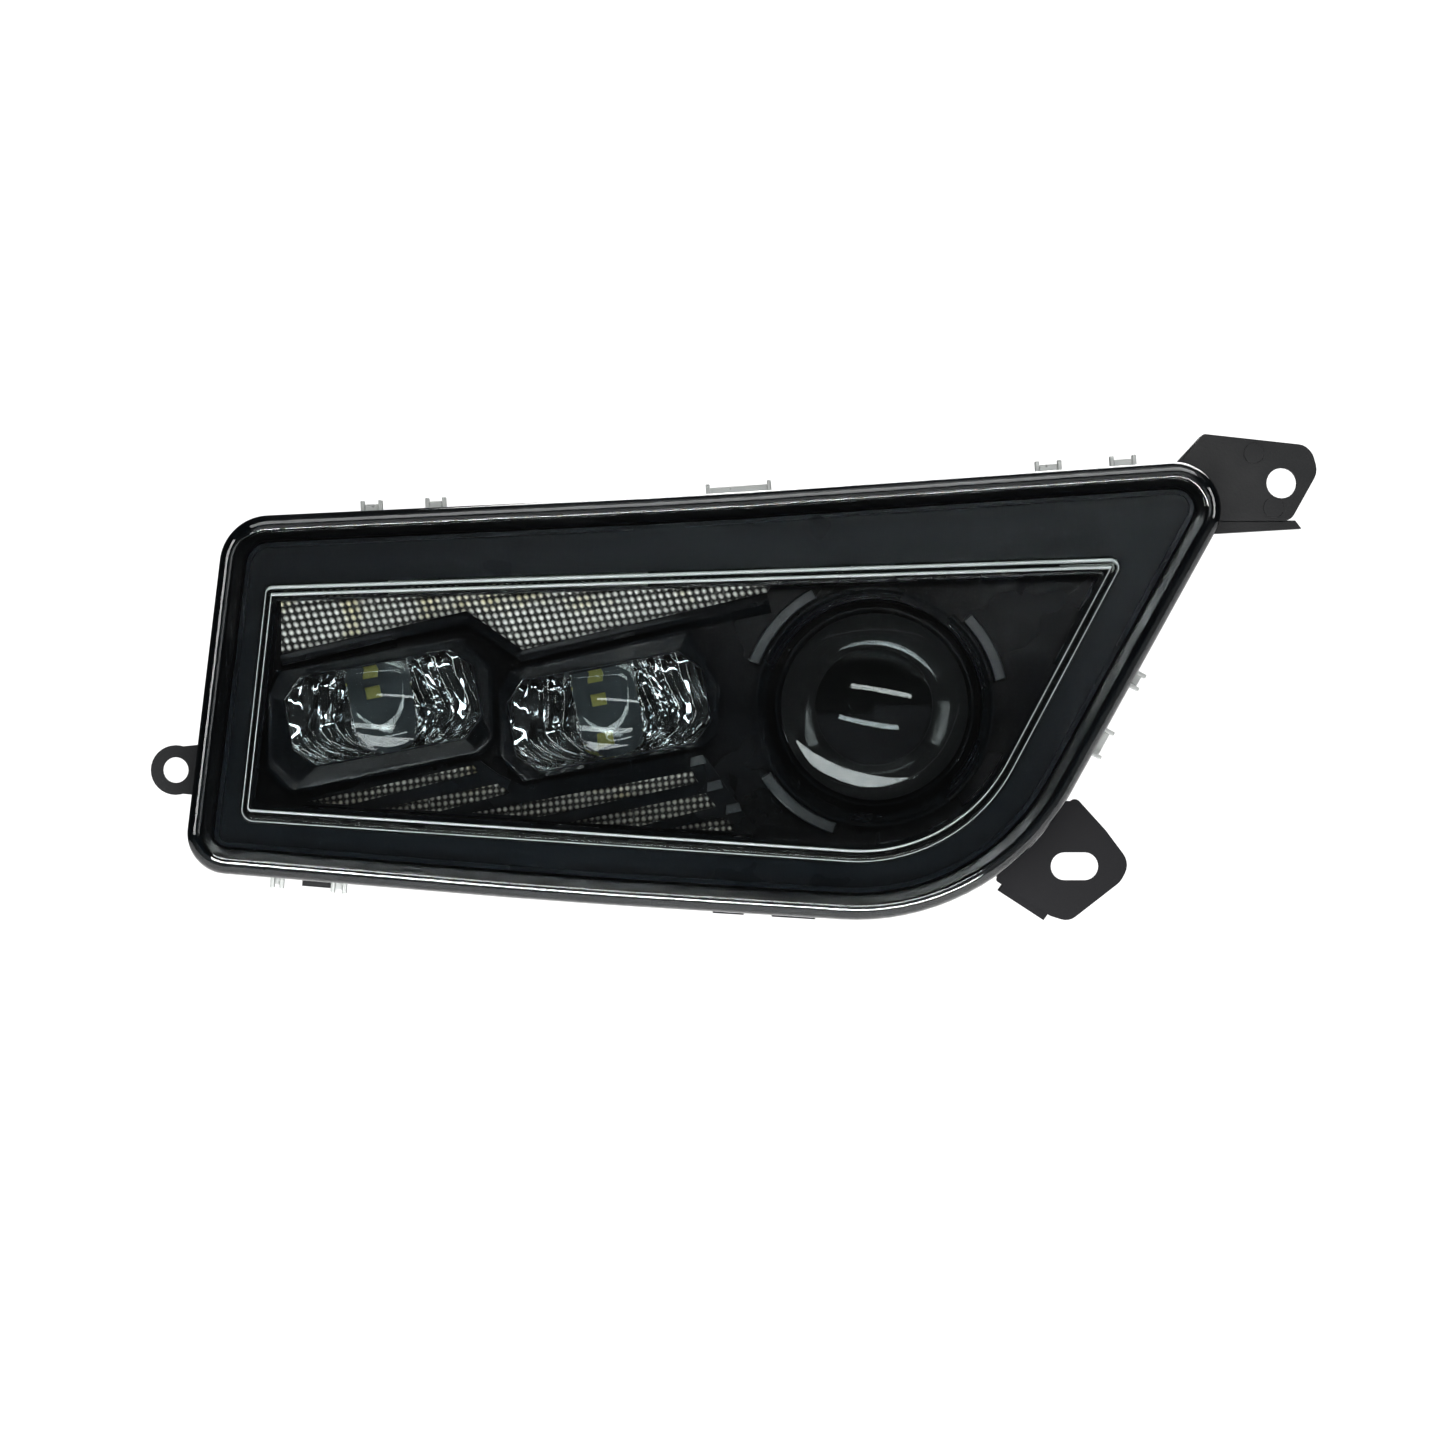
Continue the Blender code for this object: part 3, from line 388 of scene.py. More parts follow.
def lathe(name, profile, centre, steps=96, closed=False):
    """Turn a profile of (radius, y) about an axis along Y."""
    bm = bmesh.new()
    rings = []
    for radius, y in profile:
        if radius < 1e-6:
            rings.append([bm.verts.new((centre[0] * MM, y * MM, centre[1] * MM))])
            continue
        angles = [2 * math.pi * k / steps for k in range(steps)]
        rings.append([bm.verts.new(((centre[0] + radius * math.cos(a)) * MM, y * MM,
                                    (centre[1] + radius * math.sin(a)) * MM)) for a in angles])
    pairs = list(zip(rings, rings[1:])) + ([(rings[-1], rings[0])] if closed else [])
    for near, far in pairs:
        for k in range(steps):
            m = (k + 1) % steps
            corners = [near[k % len(near)], near[m % len(near)], far[m % len(far)], far[k % len(far)]]
            bm.faces.new(list(dict.fromkeys(corners)))
    return from_bmesh(name, bm)


def arc(centre, radius, start, end, steps):
    """Points along an arc; angles in degrees, counter-clockwise from the right."""
    angles = [math.radians(start + (end - start) * k / steps) for k in range(steps + 1)]
    return [(centre[0] + radius * math.cos(a), centre[1] + radius * math.sin(a)) for a in angles]


def on_edge(start, end, at, width, low, high):
    """A small rectangle standing on the edge from start to end; at is the distance from start."""
    start, end = Vector(start), Vector(end)
    along = (end - start).normalized()
    outward = Vector((-along.y, along.x))
    left, right = start + along * (at - width / 2), start + along * (at + width / 2)
    return [tuple(p) for p in (left + outward * low, left + outward * high,
                               right + outward * high, right + outward * low)]


# %% [markdown]
# ## Outer lens
# The lens is one clear moulding, about 2.5 mm thick: a flat face, a rounded edge and a skirt that runs
# back to the housing. It is built as two skins, outer and inner, joined at the foot, so that light bends
# at both surfaces as it does in the real wall. The inside of the skirt has a printed black border, which
# hides the glue line: seen through the rounded edge it makes the rim a deep gloss black.

# %% Outer lens
LENS_FRONT, LENS_FOOT, LENS_WALL = -57.0, -32.0, 2.5
EDGE_DEPTH, EDGE_WIDTH, EDGE_STEPS = 6.0, 5.0, 8


def lens_edge(inset, depth, width, front):
    """The rounded edge as a quarter of an ellipse between the skirt and the face."""
    turns = [math.pi / 2 * k / EDGE_STEPS for k in range(EDGE_STEPS + 1)]
    return [(ring(LENS, inset + width * (1 - math.cos(turn))), front + depth * (1 - math.sin(turn)))
            for turn in turns]


def outer_lens():
    """Two skins joined at the foot; the inside of the edge and skirt is printed black."""
    bm = bmesh.new()
    outer = [(ring(LENS), LENS_FOOT)] + lens_edge(0.0, EDGE_DEPTH, EDGE_WIDTH, LENS_FRONT)
    inner = lens_edge(LENS_WALL, EDGE_DEPTH - 2.2, EDGE_WIDTH - 2.0, LENS_FRONT + LENS_WALL)
    inner = [(ring(LENS, LENS_WALL), LENS_FOOT)] + inner
    outer_loops = skin(bm, outer)
    inner_loops = skin(bm, inner)
    bm.faces.new(outer_loops[-1])
    bm.faces.new(inner_loops[-1])
    count = len(outer_loops[0])
    for i in range(count):
        j = (i + 1) % count
        bm.faces.new((outer_loops[0][i], outer_loops[0][j], inner_loops[0][j], inner_loops[0][i]))
    wall = {vert for loop in inner_loops[:-2] for vert in loop}
    printed = [all(vert in wall for vert in face.verts) for face in bm.faces]
    lens = from_bmesh("lens_shell", bm, 40.0)
    flat_faces_first(lens)
    register(lens, clear_polycarbonate, "housing", "outer_lens")
    lens.data.materials.append(gloss_cup)
    lens.data.polygons.foreach_set("material_index", [int(black) for black in printed])
    print("lens faces:", len(lens.data.polygons))


outer_lens()


def lens_liner():
    """The black wall and shelf that show through the lens's rounded edge."""
    section = [(2.7, -31.9), (2.7, -50.6), (3.0, -52.2), (3.6, -52.4), (4.1, -52.0), (4.3, -50.6),
               (4.5, -49.4), (7.6, -48.8), (8.0, -48.4), (8.0, -47.4), (4.2, -47.4), (4.0, -39.0),
               (3.4, -38.6), (3.2, -31.9)]
    liner = tube_of("lens_liner", [(ring(LENS, inset), y) for inset, y in section])
    register(flat_faces_first(liner), gloss_cup, "housing")


lens_liner()

# %% [markdown]
# The lens snaps over the housing with small clear tabs along its skirt. Each is a low bridge with a
# raised cheek at both ends, cut rough at the gate, so it is cloudier than the lens itself.

# %% Snap tabs
TOP_LEFT, TOP_MIDDLE, TOP_RIGHT, LOW_RIGHT, LOW_MIDDLE, LOW_LEFT = [corner[:2] for corner in LENS]
TABS = [
    (TOP_LEFT, TOP_MIDDLE, 46.5, 7.0),
    (TOP_LEFT, TOP_MIDDLE, 67.1, 6.7),
    (TOP_MIDDLE, TOP_RIGHT, 12.5, 21.0),
    (TOP_MIDDLE, TOP_RIGHT, 112.1, 8.5),
    (TOP_MIDDLE, TOP_RIGHT, 136.1, 8.5),
    (TOP_RIGHT, LOW_RIGHT, 81.0, 6.0),
    (TOP_RIGHT, LOW_RIGHT, 104.0, 10.0),
    (LOW_MIDDLE, LOW_LEFT, 71.2, 5.0),
    (LOW_MIDDLE, LOW_LEFT, 91.0, 4.3),
]
CHEEK = 1.3


def snap_tabs():
    """Every tab in TABS: the edge it stands on, its distance along it and its width."""
    bm = bmesh.new()
    for start, end, at, width in TABS:
        prism(bm, on_edge(start, end, at, width - 2 * CHEEK - 0.1, 0.05, 2.3), -38.5, -33.5)
        for side in (-1, 1):
            middle = at + side * (width - CHEEK) / 2
            prism(bm, on_edge(start, end, middle, CHEEK, 0.05, 3.5), -40.0, -33.0)
    tabs = from_bmesh("snap_tabs", bm)
    ease_edges(tabs, 0.3)
    register(tabs, clear_tab, "housing")


snap_tabs()
print("snap tabs:", len(TABS))

# %% [markdown]
# ## Light guide
# A clear acrylic bar runs round the bezel's window. Its front edges are rounded and its core is flat, so
# its edges gather light and its middle shows the dark behind it. One outline is stepped inwards through
# the section, which keeps the bar's own width on each side.

# %% Light guide
GUIDE_FRONT, GUIDE_BACK = -52.3, -47.0


def light_guide():
    """The bar: share is how far across it a line of the section lies."""
    section = [(0.02, GUIDE_BACK), (0.0, -50.6), (0.06, -51.5), (0.18, -52.1), (0.3, GUIDE_FRONT),
               (0.36, -52.0), (0.5, -51.6), (0.64, -52.0), (0.7, GUIDE_FRONT), (0.82, -52.1), (0.94, -51.5),
               (1.0, -50.6), (0.98, GUIDE_BACK)]
    guide = tube_of("light_guide_bar", [
        (ring(GUIDE, [width * share for width in GUIDE_WIDTHS]), y) for share, y in section])
    register(guide, clear_acrylic, "housing", "light_guide")


HIGHLIGHT_LINES = {
    "outer": ([0.10, 0.10, 0.12, 0.12], [1.25, 0.45, 0.50, 0.5]),
    "inner": ([2.45, 2.5, 3.2, 1.9], [3.45, 2.85, 4.05, 2.3]),
}
HIGHLIGHT_LOW, HIGHLIGHT_TOP = -51.9, -52.6


def guide_edges():
    """Pale frosted lines along both edges, painted highlights for the guide's bright edge lines: wide on the
    top bar, thin on the others.
    """
    for name, (near, far) in HIGHLIGHT_LINES.items():
        rows = [(0.0, HIGHLIGHT_LOW), (0.3, HIGHLIGHT_TOP), (0.7, HIGHLIGHT_TOP), (1.0, HIGHLIGHT_LOW)]
        edge = tube_of(f"light_guide_{name}_edge", [
            (ring(GUIDE, [a + (b - a) * share for a, b in zip(near, far)]), y) for share, y in rows])
        register(edge, frosted_highlight_edge, "housing")


guide_edges()
light_guide()
print("painted highlight lines on the guide:", len(HIGHLIGHT_LINES))

# %% [markdown]
# ## Bezel frame
# The frame is a flat satin panel with a low rib round its edge, broken in four places. The solid already
# has that form, so it only needs soft edges.

# %% Bezel frame
frame_piece = eased_copy("bezel_frame", satin_bezel, 0.25)
print("bezel frame edges rounded:", frame_piece.name)

# %% [markdown]
# ## Inner bezel
# Inside the light guide the bezel drops 13 mm to a floor that holds the optics. The walls lean a little
# so that the moulding leaves its tool. A sharp V-shaped ridge carries the lower edge of the beaded
# marker strip.

# %% Inner bezel
eased_copy("inner_bezel", shaded_inner_abs, 0.2)


def faceted_bar(bm, upper, lower, front, back, crest=0.35):
    """A bar between two matching lines whose front is folded along a crest between them."""
    fold = [(u[0] + (l[0] - u[0]) * crest, u[1] + (l[1] - u[1]) * crest) for u, l in zip(upper, lower)]
    rows = [(upper, front + 1.2), (fold, front), (lower, back)]
    verts = [[bm.verts.new((x * MM, y * MM, z * MM)) for x, z in line] for line, y in rows]
    rear = [bm.verts.new((x * MM, back * MM, z * MM)) for x, z in upper]
    for near, far in zip(verts, verts[1:]):
        for i in range(len(near) - 1):
            bm.faces.new((near[i], near[i + 1], far[i + 1], far[i]))
    for i in range(len(rear) - 1):
        bm.faces.new((rear[i], rear[i + 1], verts[0][i + 1], verts[0][i]))
        bm.faces.new((verts[2][i], verts[2][i + 1], rear[i + 1], rear[i]))
    for end in (0, -1):
        bm.faces.new((rear[end], verts[0][end], verts[1][end], verts[2][end]))


def marker_ridge():
    upper = [(-145.2, 7.1), (-85.9, 20.9), (-67.9, 8.5), (10.2, 26.9)]
    lower = [(-145.2, 2.6), (-85.0, 15.4), (-68.6, 4.2), (12.0, 20.5)]
    bm = bmesh.new()
    faceted_bar(bm, upper, lower, -47.6, -37.2)
    ridge = from_bmesh("marker_ridge", bm, 10.0)
    ease_edges(ridge, 0.15, angle=10.0)
    register(ridge, gloss_cup, "housing")


marker_ridge()
print("inner bezel and marker ridge made")

# %% [markdown]
# ## Beaded strips
# The marker lens and the slanted strips under the optics are clear plates whose face is covered with
# rows of small convex beads, 2.1 to 2.4 mm apart, over a metallised back. The bead is real geometry: a
# fine grid that follows the bead rows is pushed forwards into domes and then cut to each strip's
# outline. The grid leans with the rows, so every dome gets the same points and looks the same. The
# colour is painted light by the same height: a painted highlight on the domes' crowns, painted shade in the
# valleys round them.

# %% Beaded strips


def beaded_material(name, color, warm, valley_shade, front, height):
    """Clear beads over a bright back, coloured by height as painted light: a painted highlight on the crowns
    and painted shade in the valleys.
    """
    material, tree, shader = new_material(name)
    where = place_on(tree)
    patches = spread_over(tree, noise(tree, where, 16.0), 0.0, 1.0, 0.56, 0.7)
    tint = blend(tree, patches, color, warm)
    depth = add(tree, "ShaderNodeSeparateXYZ", {"Vector": where})
    # Painted light by height: painted shade in the valleys, a painted highlight on the crowns.
    rise = spread_over(tree, depth.outputs["Y"], 0.0, 1.0, front * MM, (front - height) * MM)
    crown_highlight = add(tree, "ShaderNodeMath", {0: rise, 1: 1.6}, operation="POWER")
    wire(tree, shader, {"Base Color": blend(tree, crown_highlight.outputs["Value"], valley_shade, tint)},
         {"Metallic": 0.35, "Roughness": 0.3})
    return material


MARKER_FRONT, MARKER_BEAD = -44.6, 0.8
LOWER_FRONT, LOWER_BEAD = -40.6, 0.7
marker_beads = beaded_material("metallised_bead_plate", "#d8d8d4", "#d6cfae", "#2b2c2b",
                               MARKER_FRONT, MARKER_BEAD)
# The lower plate is the same bead plate in darker colours: painted shade for its place behind the louvre
# bars.
shaded_lower_beads = beaded_material("metallised_lower_bead_plate", "#8f8f88", "#938c70", "#0e0f0f",
                              LOWER_FRONT, LOWER_BEAD)
ROW_SLOPE = 0.12  # the bead rows climb with the lens edge
PER_BEAD = 8  # grid steps across one bead


def cut_to(bm, outline):
    """Cut a sheet that faces forward to a convex outline."""
    middle = Vector((sum(p[0] for p in outline), 0, sum(p[1] for p in outline))) / len(outline)
    for start, end in zip(outline, outline[1:] + outline[:1]):
        corner = Vector((start[0], 0, start[1]))
        normal = Vector((end[1] - start[1], 0, start[0] - end[0])).normalized()
        if normal.dot(middle - corner) > 0:
            normal.negate()
        geometry = list(bm.verts) + list(bm.edges) + list(bm.faces)
        bmesh.ops.bisect_plane(bm, geom=geometry, plane_co=(start[0] * MM, 0, start[1] * MM),
                               plane_no=normal, clear_outer=True)


def close_behind(bm, back):
    """Run the sheet's rim back to y = back and close it there."""
    rim = [edge for edge in bm.edges if edge.is_boundary]
    made = bmesh.ops.extrude_edge_only(bm, edges=rim)["geom"]
    for vert in (g for g in made if isinstance(g, bmesh.types.BMVert)):
        vert.co.y = back * MM
    bmesh.ops.holes_fill(bm, edges=[edge for edge in bm.edges if edge.is_boundary])


def fill_grid(bm, grid):
    for left, right in zip(grid, grid[1:]):
        for k in range(len(left) - 1):
            bm.faces.new((left[k], right[k], right[k + 1], left[k + 1]))


def bead_rise(i, k):
    """How far a grid point stands up its dome, from 0 to 1."""
    du, dv = i / PER_BEAD - round(i / PER_BEAD), k / PER_BEAD - round(k / PER_BEAD)
    return math.sqrt(max(1.0 - du * du / 0.17 - dv * dv / 0.21, 0.0))


def beads(name, parts, front, back, material, node, pitch, height, slant):
    """Beaded plate over the convex outlines in parts; slant leans the bead columns."""
    step = pitch / PER_BEAD
    whole = bmesh.new()
    for outline in parts:
        bm = bmesh.new()
        us, vs = [x + slant * z for x, z in outline], [z - ROW_SLOPE * x for x, z in outline]
        grid = []
        for i in range(math.floor(min(us) / step), math.ceil(max(us) / step) + 1):
            line = []
            for k in range(math.floor(min(vs) / step), math.ceil(max(vs) / step) + 1):
                x = (i * step - slant * k * step) / (1.0 + ROW_SLOPE * slant)
                y, z = front - height * bead_rise(i, k), k * step + ROW_SLOPE * x
                line.append(bm.verts.new((x * MM, y * MM, z * MM)))
            grid.append(line)
        fill_grid(bm, grid)
        cut_to(bm, outline)
        close_behind(bm, back)
        mesh = bpy.data.meshes.new("bead_part")
        bm.to_mesh(mesh)
        bm.free()
        whole.from_mesh(mesh)
        bpy.data.meshes.remove(mesh)
    plate = register(from_bmesh(name, whole, 60.0), material, "housing", node)
    print(name, "faces:", len(plate.data.polygons))


MARKER_PARTS = [
    [(-145.0, 25.4), (-85.8, 27.3), (-85.8, 21.1), (-144.9, 7.4)],
    [(-85.8, 27.3), (-67.8, 27.9), (-67.8, 8.7), (-85.8, 21.1)],
    [(-67.8, 27.9), (10.0, 30.2), (11.6, 28.8), (10.6, 27.1), (-67.8, 8.7)],
]
beads("marker_beads", MARKER_PARTS, MARKER_FRONT, -41.0, marker_beads, "marker_lens",
      pitch=2.4, height=MARKER_BEAD, slant=0.35)

LOUVERS = [
    [(-136.6, -40.0), (-83.7, -28.2), (-81.8, -30.5), (-123.4, -41.0)],
    [(-113.1, -42.1), (-75.7, -34.2), (-71.5, -37.0), (-94.1, -43.0)],
    [(-84.0, -43.5), (-13.5, -30.2), (-11.4, -33.9), (-62.2, -44.8)],
    [(-52.6, -46.6), (-9.2, -37.2), (-5.8, -41.5), (-30.0, -47.7)],
    [(-20.3, -48.5), (-2.8, -44.9), (0.6, -49.6)],
]
beads("shaded_lower_beads", LOUVERS, LOWER_FRONT, -38.8, shaded_lower_beads, "lower_lens",
      pitch=2.1, height=LOWER_BEAD, slant=0.1)
eased_copy("louver_grille", shaded_inner_abs, 0.25)


def bar_caps():
    """The small ends of the slanted bars, painted pale as a painted highlight."""
    bm = bmesh.new()
    for x, z in ((-11.6, -26.9), (-6.2, -34.9), (-0.2, -42.2)):
        corners = [(x - 2.6, z - 1.9), (x - 2.4, z + 1.1), (x + 1.6, z + 2.0), (x + 2.6, z - 0.7)]
        prism(bm, corners[::-1], -44.2, -42.6)
    caps = from_bmesh("louver_bar_caps", bm)
    ease_edges(caps, 0.2)
    register(caps, lit_raised_abs, "housing")


bar_caps()

# %% [markdown]
# ## Cups round the optics
# Each optic sits in a faceted cup. Its rim is a narrow flat, and eight planes lean in from it to the
# optic. Leaning planes matter more than the outline: each one meets the light at its own angle, and that
# is what makes the black cup readable.

# %% Optic cups
OPTICS = [(-112.5, -9.9, 61.0, 28.5), (-40.2, -11.2, 63.0, 29.5)]
TILT = math.radians(10.5)
CUPS = [
    [(-146.5, 1.8), (-87.4, 13.6), (-76.9, 2.8), (-76.6, -20.8), (-81.2, -24.8), (-142.6, -37.6),
     (-150.6, -29.0), (-150.0, -6.0)],
    [(-72.0, 2.6), (-14.7, 16.4), (-3.6, -4.6), (-5.2, -18.6), (-9.6, -22.2), (-67.5, -33.6),
     (-75.6, -25.2), (-75.4, -4.0)],
]


def tilted(centre, u, v):
    """A point u to the right and v up in the optic's own tilted frame."""
    return (centre[0] + u * math.cos(TILT) - v * math.sin(TILT),
            centre[1] + u * math.sin(TILT) + v * math.cos(TILT))


def chamfered(optic, grow, cut):
    """The optic's outline with cut corners, starting at the top left, clockwise."""
    x, z, width, height = optic
    half_u, half_v = width / 2 + grow, height / 2 + grow
    marks = [(-half_u + cut, half_v), (half_u - cut, half_v), (half_u, half_v - cut),
             (half_u, -half_v + cut), (half_u - cut, -half_v), (-half_u + cut, -half_v),
             (-half_u, -half_v + cut), (-half_u, half_v - cut)]
    return [tilted((x, z), u, v) for u, v in marks]


def toward(outline, target, share):
    """The outline moved part of the way to another one with as many points."""
    return [(a[0] + (b[0] - a[0]) * share, a[1] + (b[1] - a[1]) * share) for a, b in zip(outline, target)]


for number, (optic, cup) in enumerate(zip(OPTICS, CUPS), 1):
    mouth = chamfered(optic, 0.3, 6.5)
    piece = tube_of(f"optic_cup_{number}", [
        (cup, -37.4), (cup, -44.6), (toward(cup, mouth, 0.16), -46.2), (toward(cup, mouth, 0.34), -46.0),
        (toward(cup, mouth, 0.97), -43.4), (mouth, -42.6), (mouth, -37.4)])
    ease_edges(piece, 0.18, angle=8.0)
    register(piece, gloss_cup, "housing", f"optic_bezel_{number}")
print("optic cups:", len(CUPS))

# %% [markdown]
# ## Rectangular optics
# A low-beam optic of this kind is a solid clear block. Its centre is a smooth lens in front of the light
# emitting chips, and its two sides are fluted so that light that misses the lens is turned forwards.
# The flutes bend as they rise, so they are drawn as a height over the block's face. Behind the sides
# sits a metallised tray with tall ribs of its own. Flutes over ribs break the room's reflection up into
# hard black and white bands, like cut glass.

# %% Rectangular optics
LENS_HALF = 10.5  # half the width of the smooth centre
FLUTE_PITCH = 5.2


def flute(u, v):
    """How far the face stands forward of its base, in mm."""
    half = LENS_HALF if v > -4.0 else math.sqrt(max(LENS_HALF ** 2 - (v + 4.0) ** 2, 0.0))
    side = abs(u) - half
    if side < 0:
        return 5.0 - 1.4 * (u / LENS_HALF) ** 2 - 0.019 * (v - 1.0) ** 2
    phase = (side + 0.02 * v * v + 0.9 * math.sin(0.3 * v)) / FLUTE_PITCH
    return 0.3 + 1.3 * abs(math.sin(math.pi * phase)) + 0.15 * math.sin(0.3 * v + 0.3 * u)


def tray_rib(u, v):
    """Height of the metallised tray: tall ribs that bend as they rise, on a shallow bowl."""
    bend = abs(u) + 0.03 * v * v + 1.1 * math.sin(0.35 * v + 0.8)
    bowl = 4.6 * (abs(u) / 31.0) ** 2
    return bowl + 1.5 * abs(math.sin(math.pi * bend / 6.4)) + 0.25 * math.sin(0.4 * v + 0.5 * u)


def height_face(optic, name, height, base, back, grow, cut, step):
    """A closed block over the optic's outline whose front follows height(u, v)."""
    x, z, width, depth = optic
    outline = chamfered(optic, grow, cut)
    half_u, half_v = width / 2 + grow, depth / 2 + grow
    bm = bmesh.new()
    columns, rows = math.ceil(2 * half_u / step), math.ceil(2 * half_v / step)
    grid = []
    for i in range(columns + 1):
        line = []
        for k in range(rows + 1):
            u, v = -half_u + 2 * half_u * i / columns, -half_v + 2 * half_v * k / rows
            px, pz = tilted((x, z), u, v)
            line.append(bm.verts.new((px * MM, (base - height(u, v)) * MM, pz * MM)))
        grid.append(line)
    fill_grid(bm, grid)
    cut_to(bm, outline)
    close_behind(bm, back)
    return from_bmesh(name, bm, 40.0)


def bulb_outline(centre, half, top, bottom, steps=20):
    """A U: straight sides and a round foot."""
    foot = arc((0.0, bottom), half, 0, -180, steps)
    points = [(-half, top), (half, top)] + foot
    return [tilted(centre, u, v) for u, v in points]


for number, optic in enumerate(OPTICS, 1):
    block = height_face(optic, f"optic_{number}_block", flute, -40.6, -38.4, 0.0, 6.3, 0.5)
    register(block, clear_optic, "housing", f"optic_{number}")
    print(block.name, "faces:", len(block.data.polygons))

# %% [markdown]
# Behind the clear block: the metallised tray with a U-shaped window at its centre, a second clear lens
# of the same U shape, and the two or three yellow phosphor squares that give the light.

# %% Behind the optics


def phosphor():
    """Cerium phosphor over a blue chip looks lemon yellow when it is off."""
    material, tree, shader = new_material("cerium_phosphor")
    grain = noise(tree, place_on(tree), 0.8)
    wire(tree, shader, {"Base Color": blend(tree, grain, "#9a9648", "#b5b069")}, {"Roughness": 0.4})
    return material


yellow_chip = phosphor()


def tray_with_window(optic, number):
    """The metallised tray, cut through where the inner lens stands."""
    tray = height_face(optic, f"optic_{number}_mirror", lambda u, v: 0.0 if abs(u) < 9.5 else tray_rib(u, v),
                       -32.0, -30.2, -0.3, 6.0, 0.62)
    cutter_bm = bmesh.new()
    outline = bulb_outline(optic[:2], 9.8, 18.0, -4.0)
    prism(cutter_bm, outline, -45.0, -25.0)
    cutter = from_bmesh("window_cutter", cutter_bm)
    hole = tray.modifiers.new("window", "BOOLEAN")
    hole.operation = "DIFFERENCE"
    hole.object = cutter
    bpy.context.view_layer.update()
    mesh = bpy.data.meshes.new_from_object(tray.evaluated_get(bpy.context.evaluated_depsgraph_get()))
    tray.modifiers.clear()
    tray.data = mesh
    bpy.data.objects.remove(cutter)
    register(tray, mirror_coat, "housing")


def inner_bulb(optic, number):
    """The second clear lens, domed towards the front."""
    outline = bulb_outline(optic[:2], 9.2, 12.6, -4.4)
    centre = (sum(p[0] for p in outline) / len(outline), sum(p[1] for p in outline) / len(outline))
    middle = [centre] * len(outline)
    bm = bmesh.new()
    shares = [(0.0, -31.0), (0.0, -34.6), (0.12, -35.9), (0.35, -37.0), (0.62, -37.6), (0.86, -37.8)]
    loops = skin(bm, [(toward(outline, middle, share), y) for share, y in shares])
    bm.faces.new(loops[0])
    bm.faces.new(loops[-1])
    bulb = from_bmesh(f"optic_{number}_inner_lens", bm, 50.0)
    register(bulb, clear_optic, "housing")


CHIP_ROWS = [(9.6, 4.4), (9.6, 3.6, -6.4)]
CHIP_U, CHIP_HALF, CHIP_HALF_HIGH = -2.0, 1.9, 1.52


def chips(optic, number):
    """The yellow squares on the board; the second optic has one more."""
    bm = bmesh.new()
    for v in CHIP_ROWS[number - 1]:
        corners = [(CHIP_U - CHIP_HALF, v + CHIP_HALF_HIGH), (CHIP_U + CHIP_HALF, v + CHIP_HALF_HIGH),
                   (CHIP_U + CHIP_HALF, v - CHIP_HALF_HIGH), (CHIP_U - CHIP_HALF, v - CHIP_HALF_HIGH)]
        prism(bm, [tilted(optic[:2], u, w) for u, w in corners], -30.6, -29.8)
    emitters = from_bmesh(f"optic_{number}_chips", bm)
    ease_edges(emitters, 0.15)
    register(emitters, yellow_chip, "housing")


for number, optic in enumerate(OPTICS, 1):
    tray_with_window(optic, number)
    inner_bulb(optic, number)
    chips(optic, number)
print("chips behind each optic:", [len(rows) for rows in CHIP_ROWS])

# %% [markdown]
# ## Projector
# The projector throws the main beam. From the front one sees a thick convex glass, black because there
# is nothing bright behind it, in a stepped ring. The glass and its holder tilt with the carrier when the
# beam is aimed, while the shroud stays with the bezel, so they are separate pieces on separate bodies.

# %% Projector lens and shroud
PROJECTOR = (45.0, -9.5)


def projector_lens():
    """Flat behind, with a shallow ball-shaped front and a thin flange for the holder."""
    radius, apex_y, sphere, steps = 29.6, -45.5, 55.0, 24
    sweep = math.asin(radius / sphere)
    dome = [(sphere * math.sin(sweep * k / steps), apex_y + sphere * (1 - math.cos(sweep * k / steps)))
            for k in range(steps + 1)]
    flange = [(30.0, -36.3), (30.1, -34.2), (30.5, -33.8), (30.5, -31.2), (30.1, -31.0), (0.0, -31.0)]
    glass = lathe("projector_lens_glass", dome + flange, PROJECTOR, 128)
    register(glass, projector_glass, "projector_carrier", "projector_lens")


def shroud():
    """The stepped ring round the glass and three raised pieces outside it."""
    profile = [(34.4, -25.2), (34.4, -34.0), (34.6, -36.4), (35.3, -36.7), (35.5, -39.4), (36.5, -39.8),
               (36.8, -42.4), (37.3, -43.2), (37.6, -44.0), (38.4, -44.0), (38.7, -43.7), (38.7, -38.4),
               (38.2, -37.3), (36.0, -37.3), (36.0, -25.2)]
    ring_piece = lathe("projector_shroud_ring", profile, PROJECTOR, 128, closed=True)
    register(ring_piece, shaded_inner_abs, "housing", "projector_shroud")
    bm = bmesh.new()
    for start, end in ((118, 160), (212, 252), (12, 44)):
        outer = arc(PROJECTOR, 43.0, start, end, 14)
        inner = arc(PROJECTOR, 39.2, end, start, 14)
        prism(bm, outer + inner, -43.0, -37.3)
    tabs = from_bmesh("shroud_segments", bm)
    ease_edges(tabs, 0.5, 3)
    register(tabs, lit_raised_abs, "housing")


def baffle():
    """A matt black cone behind the glass, which keeps stray light out of the beam."""
    profile = [(31.6, -30.2), (29.4, -30.2), (15.0, -21.4), (14.6, -20.2), (15.4, -20.0), (16.4, -21.0),
               (31.6, -28.6)]
    cone = lathe("stray_light_baffle", profile, PROJECTOR, 96, closed=True)
    register(cone, seal_rubber, "projector_carrier")


projector_lens()
shroud()
baffle()
eased_copy("lens_holder", gloss_cup, 0.3)
print("projector made round x, z =", PROJECTOR)

# %% [markdown]
# ## The other solids
# Everything else keeps the form of its solid. The visible outside pieces get rounded edges; the small or
# hidden ones keep their own mesh and only take a finish.

